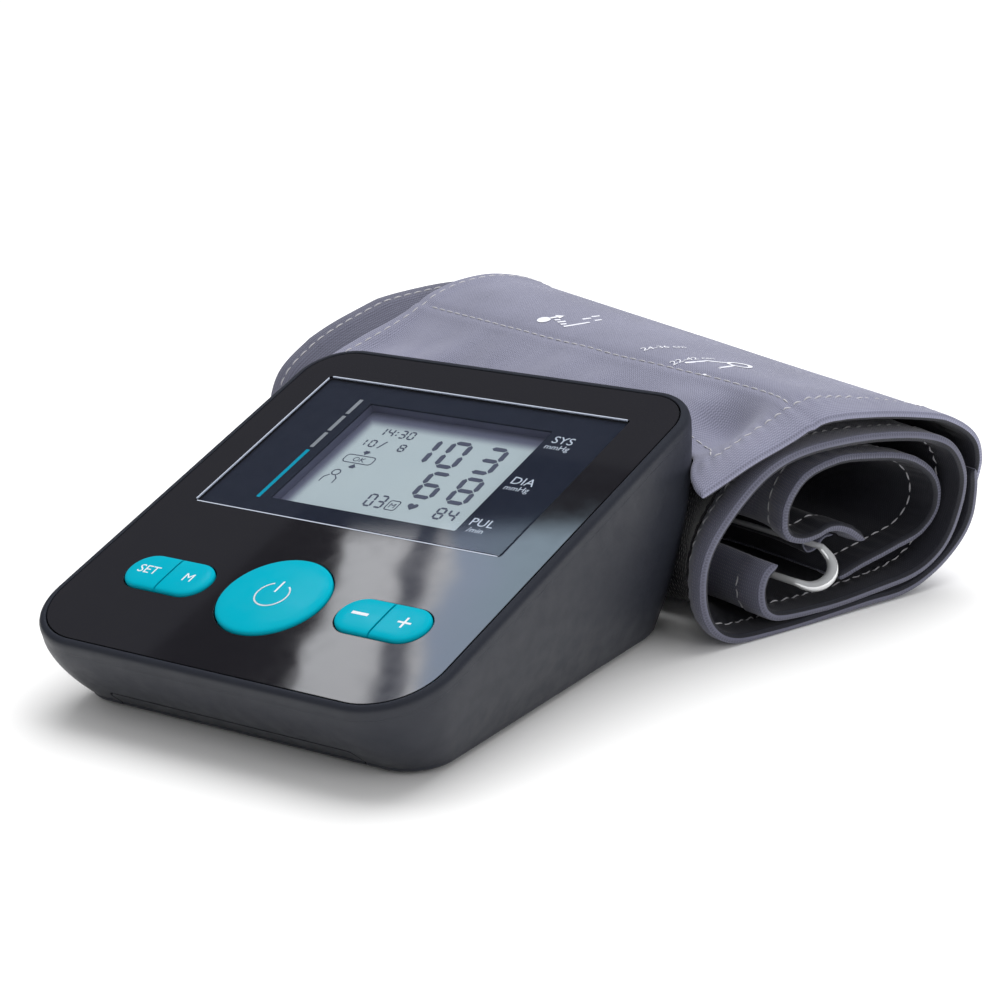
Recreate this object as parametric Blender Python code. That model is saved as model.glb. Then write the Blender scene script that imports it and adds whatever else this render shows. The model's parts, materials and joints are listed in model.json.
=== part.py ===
"""Upper-arm blood pressure monitor with its rolled cuff, as separate pieces.

The wedge-shaped monitor stands in front of the rolled cuff. An elbow plug and an air hose join them.
Lengths below are in millimetres; add_solid turns them into Blender's metres.

Three frames are used, each an empty:
  set_frame   the whole set. X to the right, Y to the back, Z up, table at Z = 0.
  face_frame  on the monitor's sloping face. X to the right, Y up the slope, Z out of the face.
  cuff_frame  on the right end of the roll. X along the roll, Y across it, Z up.
"""
import math

import bmesh
import bpy
from mathutils import Matrix, Vector

MM = 0.001
GAP = 0.3                      # running gap between neighbouring pieces

# Moves the set so that the middle of its bounding box's floor is the origin.
SET_SHIFT = (1.915, -98.77)

# Monitor case
CASE_WIDTH = 103.0
FACE_LENGTH = 112.2            # measured up the slope
FACE_SLOPE = math.radians(17.4)
FACE_HEIGHT = 17.9             # height of the face's front edge
FACE_RADIUS_FRONT, FACE_RADIUS_REAR = 16.0, 12.0
BASE_HALF_FRONT, BASE_HALF_REAR = 45.7, 43.2
BASE_FRONT, BASE_REAR = 11.2, 108.5
BASE_RADIUS_FRONT, BASE_RADIUS_REAR = 9.6, 18.3
BASE_HEIGHT, BASE_EDGE = 1.0, 0.9
FLARE_FRONT, FLARE_REAR = 1.5, 2.0     # how soon the wall turns upright as it rises
WALL, FLOOR_TOP = 2.2, 2.7
FRAME_DEPTH = 2.8              # upper frame, measured into the face
DECK_TOP = -1.5
SEAT_INSET = 1.8               # width of the rim around the glossy panel

# Face: panel, window and display
PANEL_TOP, PANEL_BOTTOM = -0.1, -1.2
WINDOW = (-39.5, 39.5, 48.8, 99.7)
VIEW = (-24.6, 24.4, 55.3, 92.6)
LCD = (-26.0, 26.0, 53.8, 94.2)
LCD_TOP, LCD_BOTTOM = -3.1, -4.5
HOLDER_BOTTOM, BOARD_TOP, BOARD_BOTTOM = -5.7, -6.0, -7.2

# Buttons
ROUND_BUTTON, ROUND_RADIUS = (0.0, 25.8), 12.2
PILL_X, PILL_Y, PILL_LENGTH, PILL_HEIGHT = 27.8, 25.6, 21.8, 10.6
BUTTON_BOTTOM, FLANGE_TOP, FLANGE = -3.9, -3.1, 0.9

# Batteries
CELL_RADIUS, CELL_LENGTH, CELL_PITCH = 7.15, 50.5, 15.0
CELL_HEIGHT, CELL_START = 10.15, 17.45
BAY = (-31.6, 31.6, 15.1, 70.3)
BAY_WALL, BAY_TOP = 1.2, 12.0
DOOR = (-32.0, 32.0, -5.0, 70.7)
DOOR_LIP = 5.6                 # height of the door's lip on the front wall

# Air path
PUMP_Y, PUMP_Z = 91.2, 17.5
SOCKET_Y, SOCKET_Z = 74.0, 15.5
MANIFOLD = (0.0, 62.0, 20.4)
PLUG_X = -55.0
HOSE_RADIUS, HOSE_BORE = 2.6, 1.5

SCREWS = ((-38.8, 44.0), (38.8, 44.0), (-33.5, 94.0), (33.5, 94.0))
FEET = ((-38.5, 26.0), (38.5, 26.0), (-23.0, 101.5), (23.0, 101.5))

# Cuff
CUFF_CORNER = (61.0, 100.3)    # where the right end plane meets the table
CUFF_ANGLE = math.radians(-22.3)
CUFF_LENGTH = 150.0
CUFF_SKEW = -21.0              # how far the left end sits forward of the right end
CUFF_RISE = 0.08               # how much taller the left end is, as a share
ROLL_OUTER = (27.6, 19.8, 35.4, 17.8)  # middle across, middle up, half width, half height
ROLL_INNER = (39.0, 21.0, 16.5, 8.0)
SHEET, BLADDER = 0.8, 1.1
LAYER_STEP = 1.25              # cover to bladder, middle to middle
RING_PIVOT, RING_HANG, RING_WIRE = (25.2, 15.4), 8.0, 1.3
FLAP_PATH = ((63.5, 32.5), (55.0, 39.5), (37.0, 45.0), (17.0, 47.0), (3.0, 43.0), (-7.0, 38.4))


# ---------------------------------------------------------------- scene and materials

def clear_scene():
    for obj in list(bpy.data.objects):
        bpy.data.objects.remove(obj, do_unlink=True)


def material(name, color, roughness, metallic=0.0):
    mat = bpy.data.materials.get(name)
    if mat is None:
        mat = bpy.data.materials.new(name)
        mat.use_nodes = True
        shader = mat.node_tree.nodes["Principled BSDF"]
        shader.inputs["Base Color"].default_value = (*color, 1.0)
        shader.inputs["Roughness"].default_value = roughness
        shader.inputs["Metallic"].default_value = metallic
        mat.diffuse_color = (*color, 1.0)
    return mat


def case_plastic():
    return material("case_plastic", (0.052, 0.060, 0.078), 0.5)


def gloss_plastic():
    return material("gloss_plastic", (0.016, 0.015, 0.020), 0.08)


def teal_plastic():
    return material("teal_plastic", (0.0, 0.50, 0.63), 0.2)


def fabric():
    return material("cuff_fabric", (0.16, 0.16, 0.23), 0.8)


def steel():
    return material("steel", (0.75, 0.75, 0.77), 0.25, 1.0)


def rubber():
    return material("rubber", (0.03, 0.03, 0.035), 0.7)


# ---------------------------------------------------------------- frames and objects

def empty(name, parent=None, matrix=None):
    obj = bpy.data.objects.new(name, None)
    bpy.context.collection.objects.link(obj)
    obj.parent = parent
    obj.matrix_local = matrix or Matrix()
    return obj


def add_solid(name, verts, faces, mat, frame, pivot=(0.0, 0.0, 0.0), smooth=None):
    """One closed mesh. Points are in the frame's millimetres; pivot becomes the object's origin."""
    mesh = bpy.data.meshes.new(name)
    origin = Vector(pivot)
    mesh.from_pydata([(Vector(v) - origin) * MM for v in verts], [], faces)
    bm = bmesh.new()
    bm.from_mesh(mesh)
    bmesh.ops.recalc_face_normals(bm, faces=bm.faces)
    bm.to_mesh(mesh)
    bm.free()
    if smooth is not None:
        mesh.shade_smooth()
        mesh.set_sharp_from_angle(angle=math.radians(smooth))
    obj = bpy.data.objects.new(name, mesh)
    bpy.context.collection.objects.link(obj)
    obj.parent = frame
    obj.location = origin * MM
    if mat is not None:
        mesh.materials.append(mat)
    return obj


def as_tool(obj):
    obj.hide_render = True
    obj.display_type = "WIRE"
    return obj


def combine(obj, tool, operation="DIFFERENCE"):
    mod = obj.modifiers.new(operation.lower(), "BOOLEAN")
    mod.operation = operation
    mod.solver = "EXACT"
    mod.object = as_tool(tool)
    return obj


# ---------------------------------------------------------------- outlines

def arc(cx, cy, radius, start, end, steps):
    """Points on an arc, in degrees."""
    turn = [math.radians(start + (end - start) * k / steps) for k in range(steps + 1)]
    return [(cx + radius * math.cos(t), cy + radius * math.sin(t)) for t in turn]


def circle(cx, cy, radius, steps=24):
    return arc(cx, cy, radius, 0, 360, steps)[:-1]


def rounded_box(x0, x1, y0, y1, radius, steps=4):
    corners = ((x1, y1, 0), (x0, y1, 90), (x0, y0, 180), (x1, y0, 270))
    points = []
    for x, y, start in corners:
        cx = x - radius if x == x1 else x + radius
        cy = y - radius if y == y1 else y + radius
        points += arc(cx, cy, radius, start, start + 90, steps)
    return points


def case_outline(half_front, half_rear, front, rear, radius_front, radius_rear, steps=7):
    """A rounded box that may be wider in front, starting at the rear right corner."""
    rr, rf = radius_rear, radius_front
    return (arc(half_rear - rr, rear - rr, rr, 0, 90, steps)
            + arc(rr - half_rear, rear - rr, rr, 90, 180, steps)
            + arc(rf - half_front, front + rf, rf, 180, 270, steps)
            + arc(half_front - rf, front + rf, rf, 270, 360, steps))


def face_outline(inset=0.0, steps=7):
    half = CASE_WIDTH / 2 - inset
    return case_outline(half, half, inset, FACE_LENGTH - inset,
                        FACE_RADIUS_FRONT - inset, FACE_RADIUS_REAR - inset, steps)


def half_pill(side, end, outset=0.0, steps=12):
    """Half of the long button. side is the button's side of the face, end its own rounded end."""
    radius = PILL_HEIGHT / 2
    centre = side * PILL_X + end * (PILL_LENGTH / 2 - radius)
    split = side * PILL_X + end * GAP / 2
    start = -90 if end > 0 else 90
    turn = arc(centre, PILL_Y, radius + outset, start, start + 180, steps)
    return [(split, turn[0][1])] + turn + [(split, turn[-1][1])]


# ---------------------------------------------------------------- solids

def skin(rings, close=False):
    """Side faces between rings of equal length, with caps unless the last ring meets the first."""
    count = len(rings[0])
    verts = [p for ring in rings for p in ring]
    faces = []
    spans = len(rings) if close else len(rings) - 1
    for r in range(spans):
        a, b = r * count, ((r + 1) % len(rings)) * count
        for k in range(count):
            n = (k + 1) % count
            faces.append((a + k, a + n, b + n, b + k))
    if not close:
        faces.append(tuple(range(count)))
        faces.append(tuple(range(len(verts) - count, len(verts))))
    return verts, faces


def prism(name, outline, z0, z1, mat, frame, pivot=(0, 0, 0), smooth=30):
    rings = [[(x, y, z) for x, y in outline] for z in (z0, z1)]
    return add_solid(name, *skin(rings), mat, frame, pivot, smooth)


def box(name, x0, x1, y0, y1, z0, z1, mat, frame):
    outline = ((x0, y0), (x1, y0), (x1, y1), (x0, y1))
    return prism(name, outline, z0, z1, mat, frame, smooth=None)


def turned(name, profile, centre, axis, mat, frame, steps=20, pivot=None, close=False):
    """A turned piece. profile is (distance along axis, radius) pairs from the centre point."""
    axis = Vector(axis).normalized()
    side = axis.orthogonal().normalized()
    other = axis.cross(side)
    middle = Vector(centre)
    rings = []
    for along, radius in profile:
        ring = []
        for k in range(steps):
            t = 2 * math.pi * k / steps
            spoke = side * math.cos(t) + other * math.sin(t)
            ring.append(middle + axis * along + spoke * radius)
        rings.append(ring)
    return add_solid(name, *skin(rings, close), mat, frame, pivot or (0, 0, 0), 30)


def smooth_path(points, per_span=4):
    """A Catmull-Rom curve through the points."""
    pts = [Vector(p) for p in points]
    pts = [pts[0] * 2 - pts[1]] + pts + [pts[-1] * 2 - pts[-2]]
    path = []
    for i in range(1, len(pts) - 2):
        p0, p1, p2, p3 = pts[i - 1:i + 3]
        for k in range(per_span):
            t = k / per_span
            path.append(0.5 * ((2 * p1) + (p2 - p0) * t + (2 * p0 - 5 * p1 + 4 * p2 - p3) * t * t
                               + (3 * p1 - p0 - 3 * p2 + p3) * t ** 3))
    return path + [pts[-2]]


def sweep_rings(path, radius, steps):
    """Circles carried along a path, kept from twisting."""
    rings = []
    side = None
    for i, point in enumerate(path):
        ahead = (path[min(i + 1, len(path) - 1)] - path[max(i - 1, 0)]).normalized()
        side = ahead.orthogonal() if side is None else side - ahead * side.dot(ahead)
        side.normalize()
        other = ahead.cross(side)
        turns = [2 * math.pi * k / steps for k in range(steps)]
        rings.append([point + (side * math.cos(t) + other * math.sin(t)) * radius for t in turns])
    return rings


def pipe(name, points, radius, bore, mat, frame, steps=10, per_span=4):
    """A tube with an open bore along a smooth path."""
    path = smooth_path(points, per_span)
    outside = sweep_rings(path, radius, steps)
    inside = sweep_rings(path, bore, steps)[::-1]
    return add_solid(name, *skin(outside + inside, close=True), mat, frame, smooth=40)


# ---------------------------------------------------------------- monitor case

def wall_ring(rise, inset, top_depth):
    """A ring of the case's outer wall, inset. rise runs from 0 at the base to 1 at the face."""
    half = CASE_WIDTH / 2 - inset
    top = case_outline(half, half, inset, FACE_LENGTH - inset,
                       FACE_RADIUS_FRONT - inset, FACE_RADIUS_REAR - inset)
    base = case_outline(BASE_HALF_FRONT - inset, BASE_HALF_REAR - inset, BASE_FRONT + inset,
                        BASE_REAR - inset, BASE_RADIUS_FRONT - inset, BASE_RADIUS_REAR - inset)
    ring = []
    for (tx, ts), (bx, by) in zip(top, base):
        share = ts / FACE_LENGTH
        flare = FLARE_FRONT + (FLARE_REAR - FLARE_FRONT) * share
        out = 1 - (1 - rise) ** flare
        ty = ts * math.cos(FACE_SLOPE) + top_depth * math.sin(FACE_SLOPE)
        tz = FACE_HEIGHT + ts * math.sin(FACE_SLOPE) - top_depth * math.cos(FACE_SLOPE)
        low = BASE_HEIGHT + BASE_EDGE
        ring.append((bx + (tx - bx) * out, by + (ty - by) * out, low + (tz - low) * rise))
    return ring


def flat_ring(inset, z):
    outline = case_outline(BASE_HALF_FRONT - inset, BASE_HALF_REAR - inset, BASE_FRONT + inset,
                           BASE_REAR - inset, BASE_RADIUS_FRONT - inset,
                           BASE_RADIUS_REAR - inset)
    return [(x, y, z) for x, y in outline]


def case_shell(name, mat, frame):
    """The open tub under the face: outer wall, rounded base edge, floor and inner wall."""
    depth = FRAME_DEPTH + GAP
    outer = [wall_ring(rise, 0.0, depth) for rise in (1.0, 0.8, 0.6, 0.42, 0.28, 0.16, 0.07, 0.0)]
    edge = []
    for degrees in (35, 65, 90):
        turn = math.radians(degrees)
        inset = BASE_EDGE * (1 - math.cos(turn))
        edge.append(flat_ring(inset, BASE_HEIGHT + BASE_EDGE * (1 - math.sin(turn))))
    inner = [wall_ring(rise, WALL, depth) for rise in (1.0, 0.7, 0.4, 0.2)]
    floor = [(x, y, FLOOR_TOP) for x, y, z in wall_ring(0.08, WALL, depth)]
    rings = edge[::-1] + outer[::-1] + inner + [floor]
    return add_solid(name, *skin(rings), mat, frame, smooth=35)


def door_block(name, shrink, frame):
    x0, x1, y0, y1 = DOOR
    outline = rounded_box(x0 + shrink, x1 - shrink, y0, y1 - shrink, 3.0)
    return prism(name, outline, -1.0, DOOR_LIP - shrink, None, frame)


def lower_housing(frame):
    shell = case_shell("lower_housing", case_plastic(), frame)
    for i, (x, y) in enumerate(SCREWS):
        boss = prism(f"tool_boss_{i}", circle(x, y, 4.6), 2.4, 5.4, None, frame)
        combine(shell, boss, "UNION")
    for i, (x, y) in enumerate(SCREWS):
        combine(shell, prism(f"tool_head_{i}", circle(x, y, 3.2), -1.0, 3.4, None, frame))
        combine(shell, prism(f"tool_shank_{i}", circle(x, y, 1.6, 16), 3.0, 7.0, None, frame))
    socket = ((-10.0, 6.8), (10.0, 6.8))
    centre = (-CASE_WIDTH / 2 + 4.0, SOCKET_Y, SOCKET_Z)
    combine(shell, turned("tool_socket", socket, centre, (1, 0, 0), None, frame))
    combine(shell, door_block("tool_door_opening", 0.0, frame))


def battery_door(frame):
    door = case_shell("battery_door", case_plastic(), frame)
    combine(door, door_block("tool_door", GAP, frame), "INTERSECT")


def face_height(x, y, depth):
    """Height of the plane that lies depth below the face, at a place in the set frame."""
    return FACE_HEIGHT + y * math.tan(FACE_SLOPE) - depth / math.cos(FACE_SLOPE)


def screw_post(index, x, y, frame):
    outline = circle(x, y, 3.2, 16)
    bottom = [(px, py, 5.7) for px, py in outline]
    top = [(px, py, face_height(px, py, 2.1)) for px, py in outline]
    return add_solid(f"tool_post_{index}", *skin([bottom, top]), None, frame)


def upper_housing(face, frame):
    body = prism("upper_housing", face_outline(), -FRAME_DEPTH, 0.0, case_plastic(), face)
    combine(body, prism("tool_seat", face_outline(SEAT_INSET), DECK_TOP, 2.0, None, face))
    for i, (x, y) in enumerate(SCREWS):
        combine(body, screw_post(i, x, y, frame), "UNION")
        combine(body, prism(f"tool_pilot_{i}", circle(x, y, 1.45, 12), 4.0, 14.0, None, frame))
    view = rounded_box(*VIEW, 0.5, 2)
    combine(body, prism("tool_view", view, -4.0, 1.0, None, face))
    cut_button_holes(body, "deck", face)


def cut_button_holes(body, label, face):
    round_hole = circle(*ROUND_BUTTON, ROUND_RADIUS + GAP, 48)
    combine(body, prism(f"tool_round_{label}", round_hole, -4.0, 1.0, None, face))
    for side in (-1, 1):
        outset = GAP
        x0 = side * PILL_X - PILL_LENGTH / 2 - outset
        x1 = side * PILL_X + PILL_LENGTH / 2 + outset
        y0, y1 = PILL_Y - PILL_HEIGHT / 2 - outset, PILL_Y + PILL_HEIGHT / 2 + outset
        outline = rounded_box(x0, x1, y0, y1, (y1 - y0) / 2 - 0.01, 8)
        combine(body, prism(f"tool_pill_{label}_{side}", outline, -4.0, 1.0, None, face))


def front_panel(face):
    outline = face_outline(SEAT_INSET + GAP)
    panel = prism("front_panel", outline, PANEL_BOTTOM, PANEL_TOP, gloss_plastic(), face)
    hole = rounded_box(*WINDOW, 0.8, 2)
    combine(panel, prism("tool_window", hole, -2.0, 1.0, None, face))
    cut_button_holes(panel, "panel", face)


def inset_box(limits, inset):
    x0, x1, y0, y1 = limits
    return x0 + inset, x1 - inset, y0 + inset, y1 - inset


def display(face):
    clear = material("window_plastic", (0.05, 0.05, 0.06), 0.05)
    lens = rounded_box(*inset_box(WINDOW, GAP), 0.6, 2)
    prism("display_window", lens, PANEL_BOTTOM, PANEL_TOP, clear, face)
    glass = material("lcd_glass", (0.43, 0.50, 0.51), 0.3)
    prism("lcd_glass", rounded_box(*LCD, 0.5, 2), LCD_BOTTOM, LCD_TOP, glass, face)
    black = material("black_plastic", (0.02, 0.02, 0.02), 0.5)
    holder = rounded_box(*inset_box(LCD, -2.6), 1.0, 2)
    ring = prism("lcd_holder", holder, HOLDER_BOTTOM, LCD_TOP, black, face)
    combine(ring, prism("tool_holder", rounded_box(*inset_box(LCD, -GAP), 0.5, 2),
                        -8.0, 0.0, None, face))
    strip = material("connector_rubber", (0.55, 0.55, 0.58), 0.6)
    box("lcd_connector_strip", LCD[0] + 1, LCD[1] - 1, LCD[2] + 0.6, LCD[2] + 2.6,
        HOLDER_BOTTOM, LCD_BOTTOM - GAP, strip, face)


def main_board(face):
    green = material("circuit_board", (0.02, 0.16, 0.07), 0.45)
    steps = ((38.0, 22.4, 36.0), (34.5, 36.0, 86.0), (27.5, 86.0, 104.0))  # half width, front, rear
    right = [(half, y) for half, front, rear in steps for y in (front, rear)]
    outline = right + [(-x, y) for x, y in right[::-1]]
    prism("main_board", outline, BOARD_BOTTOM, BOARD_TOP, green, face, smooth=None)


# ---------------------------------------------------------------- buttons and switches

def button_levels():
    """Outset and height of each ring of a button: flange, upright side, rounded edge, crown."""
    return ((FLANGE, BUTTON_BOTTOM), (FLANGE, FLANGE_TOP), (0.0, FLANGE_TOP), (0.0, 0.35),
            (-0.25, 0.75), (-0.8, 1.0))


def start_stop_button(face):
    rings = []
    for outset, z in button_levels() + ((-5.0, 1.25),):
        outline = circle(*ROUND_BUTTON, ROUND_RADIUS + outset, 48)
        rings.append([(x, y, z) for x, y in outline])
    add_solid("start_stop_button", *skin(rings), teal_plastic(), face,
              (*ROUND_BUTTON, 0.0), 30)


def half_button(name, side, end, face):
    rings = []
    for outset, z in button_levels():
        rings.append([(x, y, z) for x, y in half_pill(side, end, outset)])
    centre = side * PILL_X + end * PILL_LENGTH / 4
    add_solid(name, *skin(rings), teal_plastic(), face, (centre, PILL_Y, 0.0), 30)


def switch(name, x, y, face):
    black = material("switch_plastic", (0.03, 0.03, 0.03), 0.5)
    body = box(name, x - 3, x + 3, y - 3, y + 3, BOARD_TOP + GAP, -4.9, black, face)
    stem = prism(f"tool_{name}", circle(x, y, 1.7, 16), -5.3, -4.6, None, face)
    combine(body, stem, "UNION")


def buttons(face):
    start_stop_button(face)
    switch("start_stop_switch", *ROUND_BUTTON, face)
    halves = (("set", -1, -1), ("memory", -1, 1), ("minus", 1, -1), ("plus", 1, 1))
    for name, side, end in halves:
        half_button(f"{name}_button", side, end, face)
        switch(f"{name}_switch", side * PILL_X + end * PILL_LENGTH / 4, PILL_Y, face)


# ---------------------------------------------------------------- inside the monitor

def battery_bay(frame):
    black = material("black_plastic", (0.02, 0.02, 0.02), 0.5)
    x0, x1, y0, y1 = inset_box(BAY, -BAY_WALL)
    bay = box("battery_bay", x0, x1, y0, y1, FLOOR_TOP + GAP, BAY_TOP, black, frame)
    combine(bay, box("tool_bay", *BAY, 0.0, 20.0, None, frame))


def batteries(frame):
    wrap = material("battery_wrap", (0.30, 0.31, 0.33), 0.35)
    nub = 1.0
    body = CELL_LENGTH - nub
    for i in range(4):
        x = (i - 1.5) * CELL_PITCH
        profile = ((0.0, CELL_RADIUS - 0.5), (0.5, CELL_RADIUS), (body - 0.5, CELL_RADIUS),
                   (body, CELL_RADIUS - 0.5), (body, 2.75), (CELL_LENGTH, 2.75))
        if i % 2:
            centre, axis = (x, CELL_START, CELL_HEIGHT), (0, 1, 0)
        else:
            centre, axis = (x, CELL_START + CELL_LENGTH, CELL_HEIGHT), (0, -1, 0)
        turned(f"battery_{i + 1}", profile, centre, axis, wrap, frame, 24)


def battery_contacts(frame):
    """Sprung plates at both ends of the bay. Each bridges one cell or two."""
    plates = (("front_left", 0, 1, 1), ("front_right", 2, 3, 1), ("rear_left", 0, 0, -1),
              ("rear_middle", 1, 2, -1), ("rear_right", 3, 3, -1))
    for label, first, last, way in plates:
        y = BAY[2] + GAP if way > 0 else BAY[3] - GAP
        x0 = (first - 1.5) * CELL_PITCH - 5.5
        x1 = (last - 1.5) * CELL_PITCH + 5.5
        plate = box(f"battery_contact_{label}", x0, x1, min(y, y + way * 0.4),
                    max(y, y + way * 0.4), 5.5, 13.5, steel(), frame)
        for cell in range(first, last + 1):
            cone = ((0.2, 3.6), (1.35, 1.8))
            centre = ((cell - 1.5) * CELL_PITCH, y, CELL_HEIGHT)
            combine(plate, turned(f"tool_cone_{label}_{cell}", cone, centre, (0, way, 0), None,
                                  frame, 16), "UNION")


def air_system(frame, face):
    motor = ((0.0, 10.5), (0.8, 12.0), (25.0, 12.0), (26.0, 10.5))
    turned("pump_motor", motor, (-29.0, PUMP_Y, PUMP_Z), (1, 0, 0), steel(), frame, 28)
    white = material("pump_plastic", (0.62, 0.62, 0.60), 0.5)
    head = ((0.0, 13.0), (9.0, 13.0), (9.0, 12.0), (20.0, 12.0), (23.0, 9.0), (23.0, 1.8), (26.0, 1.8))
    turned("pump_head", head, (-2.7, PUMP_Y, PUMP_Z), (1, 0, 0), white, frame, 28)
    box("release_valve", 14.2, 34.0, 56.5, 67.5, 18.0, 26.6, steel(), frame)
    black = material("sensor_plastic", (0.03, 0.03, 0.035), 0.4)
    box("pressure_sensor", -5.0, 5.0, 57.5, 67.5, -12.0, BOARD_BOTTOM - GAP, black, face)
    manifold(frame, white)
    tube = material("silicone_tube", (0.70, 0.70, 0.68), 0.45)
    mx, my, mz = MANIFOLD
    pipe("tube_to_valve", ((mx + 10.3, my, mz), (mx + 12, my, mz), (13.9, my, mz)), 2.4, 1.3, tube,
         frame, 12, 1)
    pipe("tube_to_socket", ((mx - 10.3, my, mz), (-17, my, mz), (-26, 66.5, 20), (-32, 73, 16.5),
                            (-35.7, SOCKET_Y, SOCKET_Z)), 2.4, 1.3, tube, frame, 8, 2)
    pipe("tube_to_pump", ((23.8, PUMP_Y, PUMP_Z), (27, 90.4, 17.6), (31, 86, 18.5), (31, 79, 21),
                          (27, 75, 22.3), (18, 74.2, 21.5), (5, 74.9, 20.6), (mx + 0.4, 73.4, mz),
                          (mx, 71.6, mz), (mx, 70.5, mz)), 2.4, 1.3, tube, frame, 8, 2)


def manifold(frame, mat):
    """Cross-shaped joint of the tubes: socket, valve and pump, with the sensor above."""
    x, y, z = MANIFOLD
    body = turned("air_manifold", ((-10.0, 2.6), (10.0, 2.6)), MANIFOLD, (1, 0, 0), mat, frame, 16)
    combine(body, turned("tool_branch", ((0.0, 2.5), (8.0, 2.5)), MANIFOLD, (0, 1, 0), None, frame, 16),
            "UNION")
    combine(body, turned("tool_riser", ((0.0, 2.0), (3.0, 2.0)), MANIFOLD, (0, 0, 1), None, frame, 16),
            "UNION")
    combine(body, turned("tool_bore", ((-12.0, 1.3), (12.0, 1.3)), MANIFOLD, (1, 0, 0), None, frame, 12))
    combine(body, turned("tool_branch_bore", ((0.0, 1.2), (12.0, 1.2)), MANIFOLD, (0, 1, 0), None,
                         frame, 12))


def screws(frame):
    for i, (x, y) in enumerate(SCREWS):
        profile = ((0.0, 2.9), (1.3, 2.9), (1.3, 1.15), (10.0, 1.15), (11.0, 0.4))
        turned(f"case_screw_{i + 1}", profile, (x, y, 1.8), (0, 0, 1), steel(), frame, 16)


def feet(frame):
    for i, (x, y) in enumerate(FEET):
        profile = ((0.0, 4.0), (0.3, 4.5), (0.7, 4.5))
        turned(f"rubber_foot_{i + 1}", profile, (x, y, 0.0), (0, 0, 1), rubber(), frame, 24)


# ---------------------------------------------------------------- plug and hose

def hose_socket(frame):
    profile = ((-49.4, 2.6), (-49.4, 6.5), (-44.0, 6.5), (-44.0, 5.0), (-36.0, 5.0), (-36.0, 2.6))
    black = material("black_plastic", (0.02, 0.02, 0.02), 0.5)
    turned("hose_socket", profile, (0, SOCKET_Y, SOCKET_Z), (1, 0, 0), black, frame, 24, close=True)


def hose_plug(frame):
    """Elbow plug: a spigot in the socket, a round grip, and an outlet towards the back."""
    profile = ((-39.5, 1.7), (-40.0, 2.3), (-49.8, 2.3), (-49.8, 5.2), (-50.4, 5.6), (-59.0, 5.6),
               (-60.0, 4.8))
    plastic = material("plug_plastic", (0.06, 0.065, 0.08), 0.45)
    plug = turned("hose_plug", profile[::-1], (0, SOCKET_Y, SOCKET_Z), (1, 0, 0), plastic, frame, 24,
                  pivot=(PLUG_X, SOCKET_Y, SOCKET_Z))
    outlet = ((0.0, 3.9), (9.0, 3.6))
    combine(plug, turned("tool_outlet", outlet, (PLUG_X, SOCKET_Y, SOCKET_Z), (0, 1, 0), None,
                         frame, 20), "UNION")
    sleeve = ((9.3, 3.0), (9.3, 4.1), (15.0, 3.6), (15.0, 3.0))
    turned("strain_relief", sleeve, (PLUG_X, SOCKET_Y, SOCKET_Z), (0, 1, 0), rubber(), frame, 16,
           close=True)


def cuff_point(x, y, z):
    """A place in the cuff frame, in the set frame's millimetres."""
    c, s = math.cos(CUFF_ANGLE), math.sin(CUFF_ANGLE)
    return (CUFF_CORNER[0] + x * c - y * s, CUFF_CORNER[1] + x * s + y * c, z)


PORT = (-128.0, -34.4, 12.0)   # mouth of the cuff's air port, in the cuff frame


def air_hose(frame):
    """From the plug's outlet, behind the monitor, to the port on the front of the roll."""
    end = cuff_point(PORT[0], PORT[1] - 1.2, PORT[2])
    before = cuff_point(PORT[0], PORT[1] - 5.0, PORT[2])
    start = (PLUG_X, SOCKET_Y + 9.3, SOCKET_Z)
    points = (start, (PLUG_X, SOCKET_Y + 13, SOCKET_Z), (PLUG_X, SOCKET_Y + 17, SOCKET_Z),
              (PLUG_X - 4, SOCKET_Y + 27, SOCKET_Z - 3), before, end)
    grey = material("hose_rubber", (0.07, 0.075, 0.09), 0.5)
    pipe("air_hose", points, HOSE_RADIUS, HOSE_BORE, grey, frame, 10, 3)


def air_port(cuff):
    profile = ((0.0, 1.5), (0.0, 2.8), (6.0, 2.8), (6.0, 5.5), (7.2, 5.5), (7.2, 1.5))
    plastic = material("plug_plastic", (0.06, 0.065, 0.08), 0.45)
    turned("cuff_air_port", profile, PORT, (0, 1, 0), plastic, cuff, 20, close=True)


# ---------------------------------------------------------------- cuff

STATIONS = (0.0, -6.0, -12.0, -20.0, -30.0, -60.0, -150.0)
FRONT_DENT = (0.0, 1.0, 8.5, 13.0, 12.0, 4.0, 0.0)   # the monitor's rear corner presses the roll


def roll_point(turns):
    """The roll's middle line at the right end: one full outer wrap, then a smaller inner coil."""
    share = min(max((turns - 0.72) / 0.60, 0.0), 1.0)
    mid_y, mid_z, half_y, half_z = (a + (b - a) * share for a, b in zip(ROLL_OUTER, ROLL_INNER))
    angle = 2 * math.pi * turns
    c, s = math.cos(angle), math.sin(angle)
    power = 0.80                   # below 1 squares the loop off
    return (mid_y - half_y * math.copysign(abs(c) ** power, c),
            mid_z + half_z * math.copysign(abs(s) ** power, s))


def roll_path(first, last, count):
    return [roll_point(first + (last - first) * k / count) for k in range(count + 1)]


def place(y, z, station, dent):
    """Carry a point of the right end's section to another station along the roll."""
    skew = CUFF_SKEW * -station / CUFF_LENGTH
    front = max(0.0, 1.0 - (y + 10.0) / 40.0)
    rise = 1.0 + CUFF_RISE * -station / CUFF_LENGTH
    return (station, y + skew + dent * front, z * rise)


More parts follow.
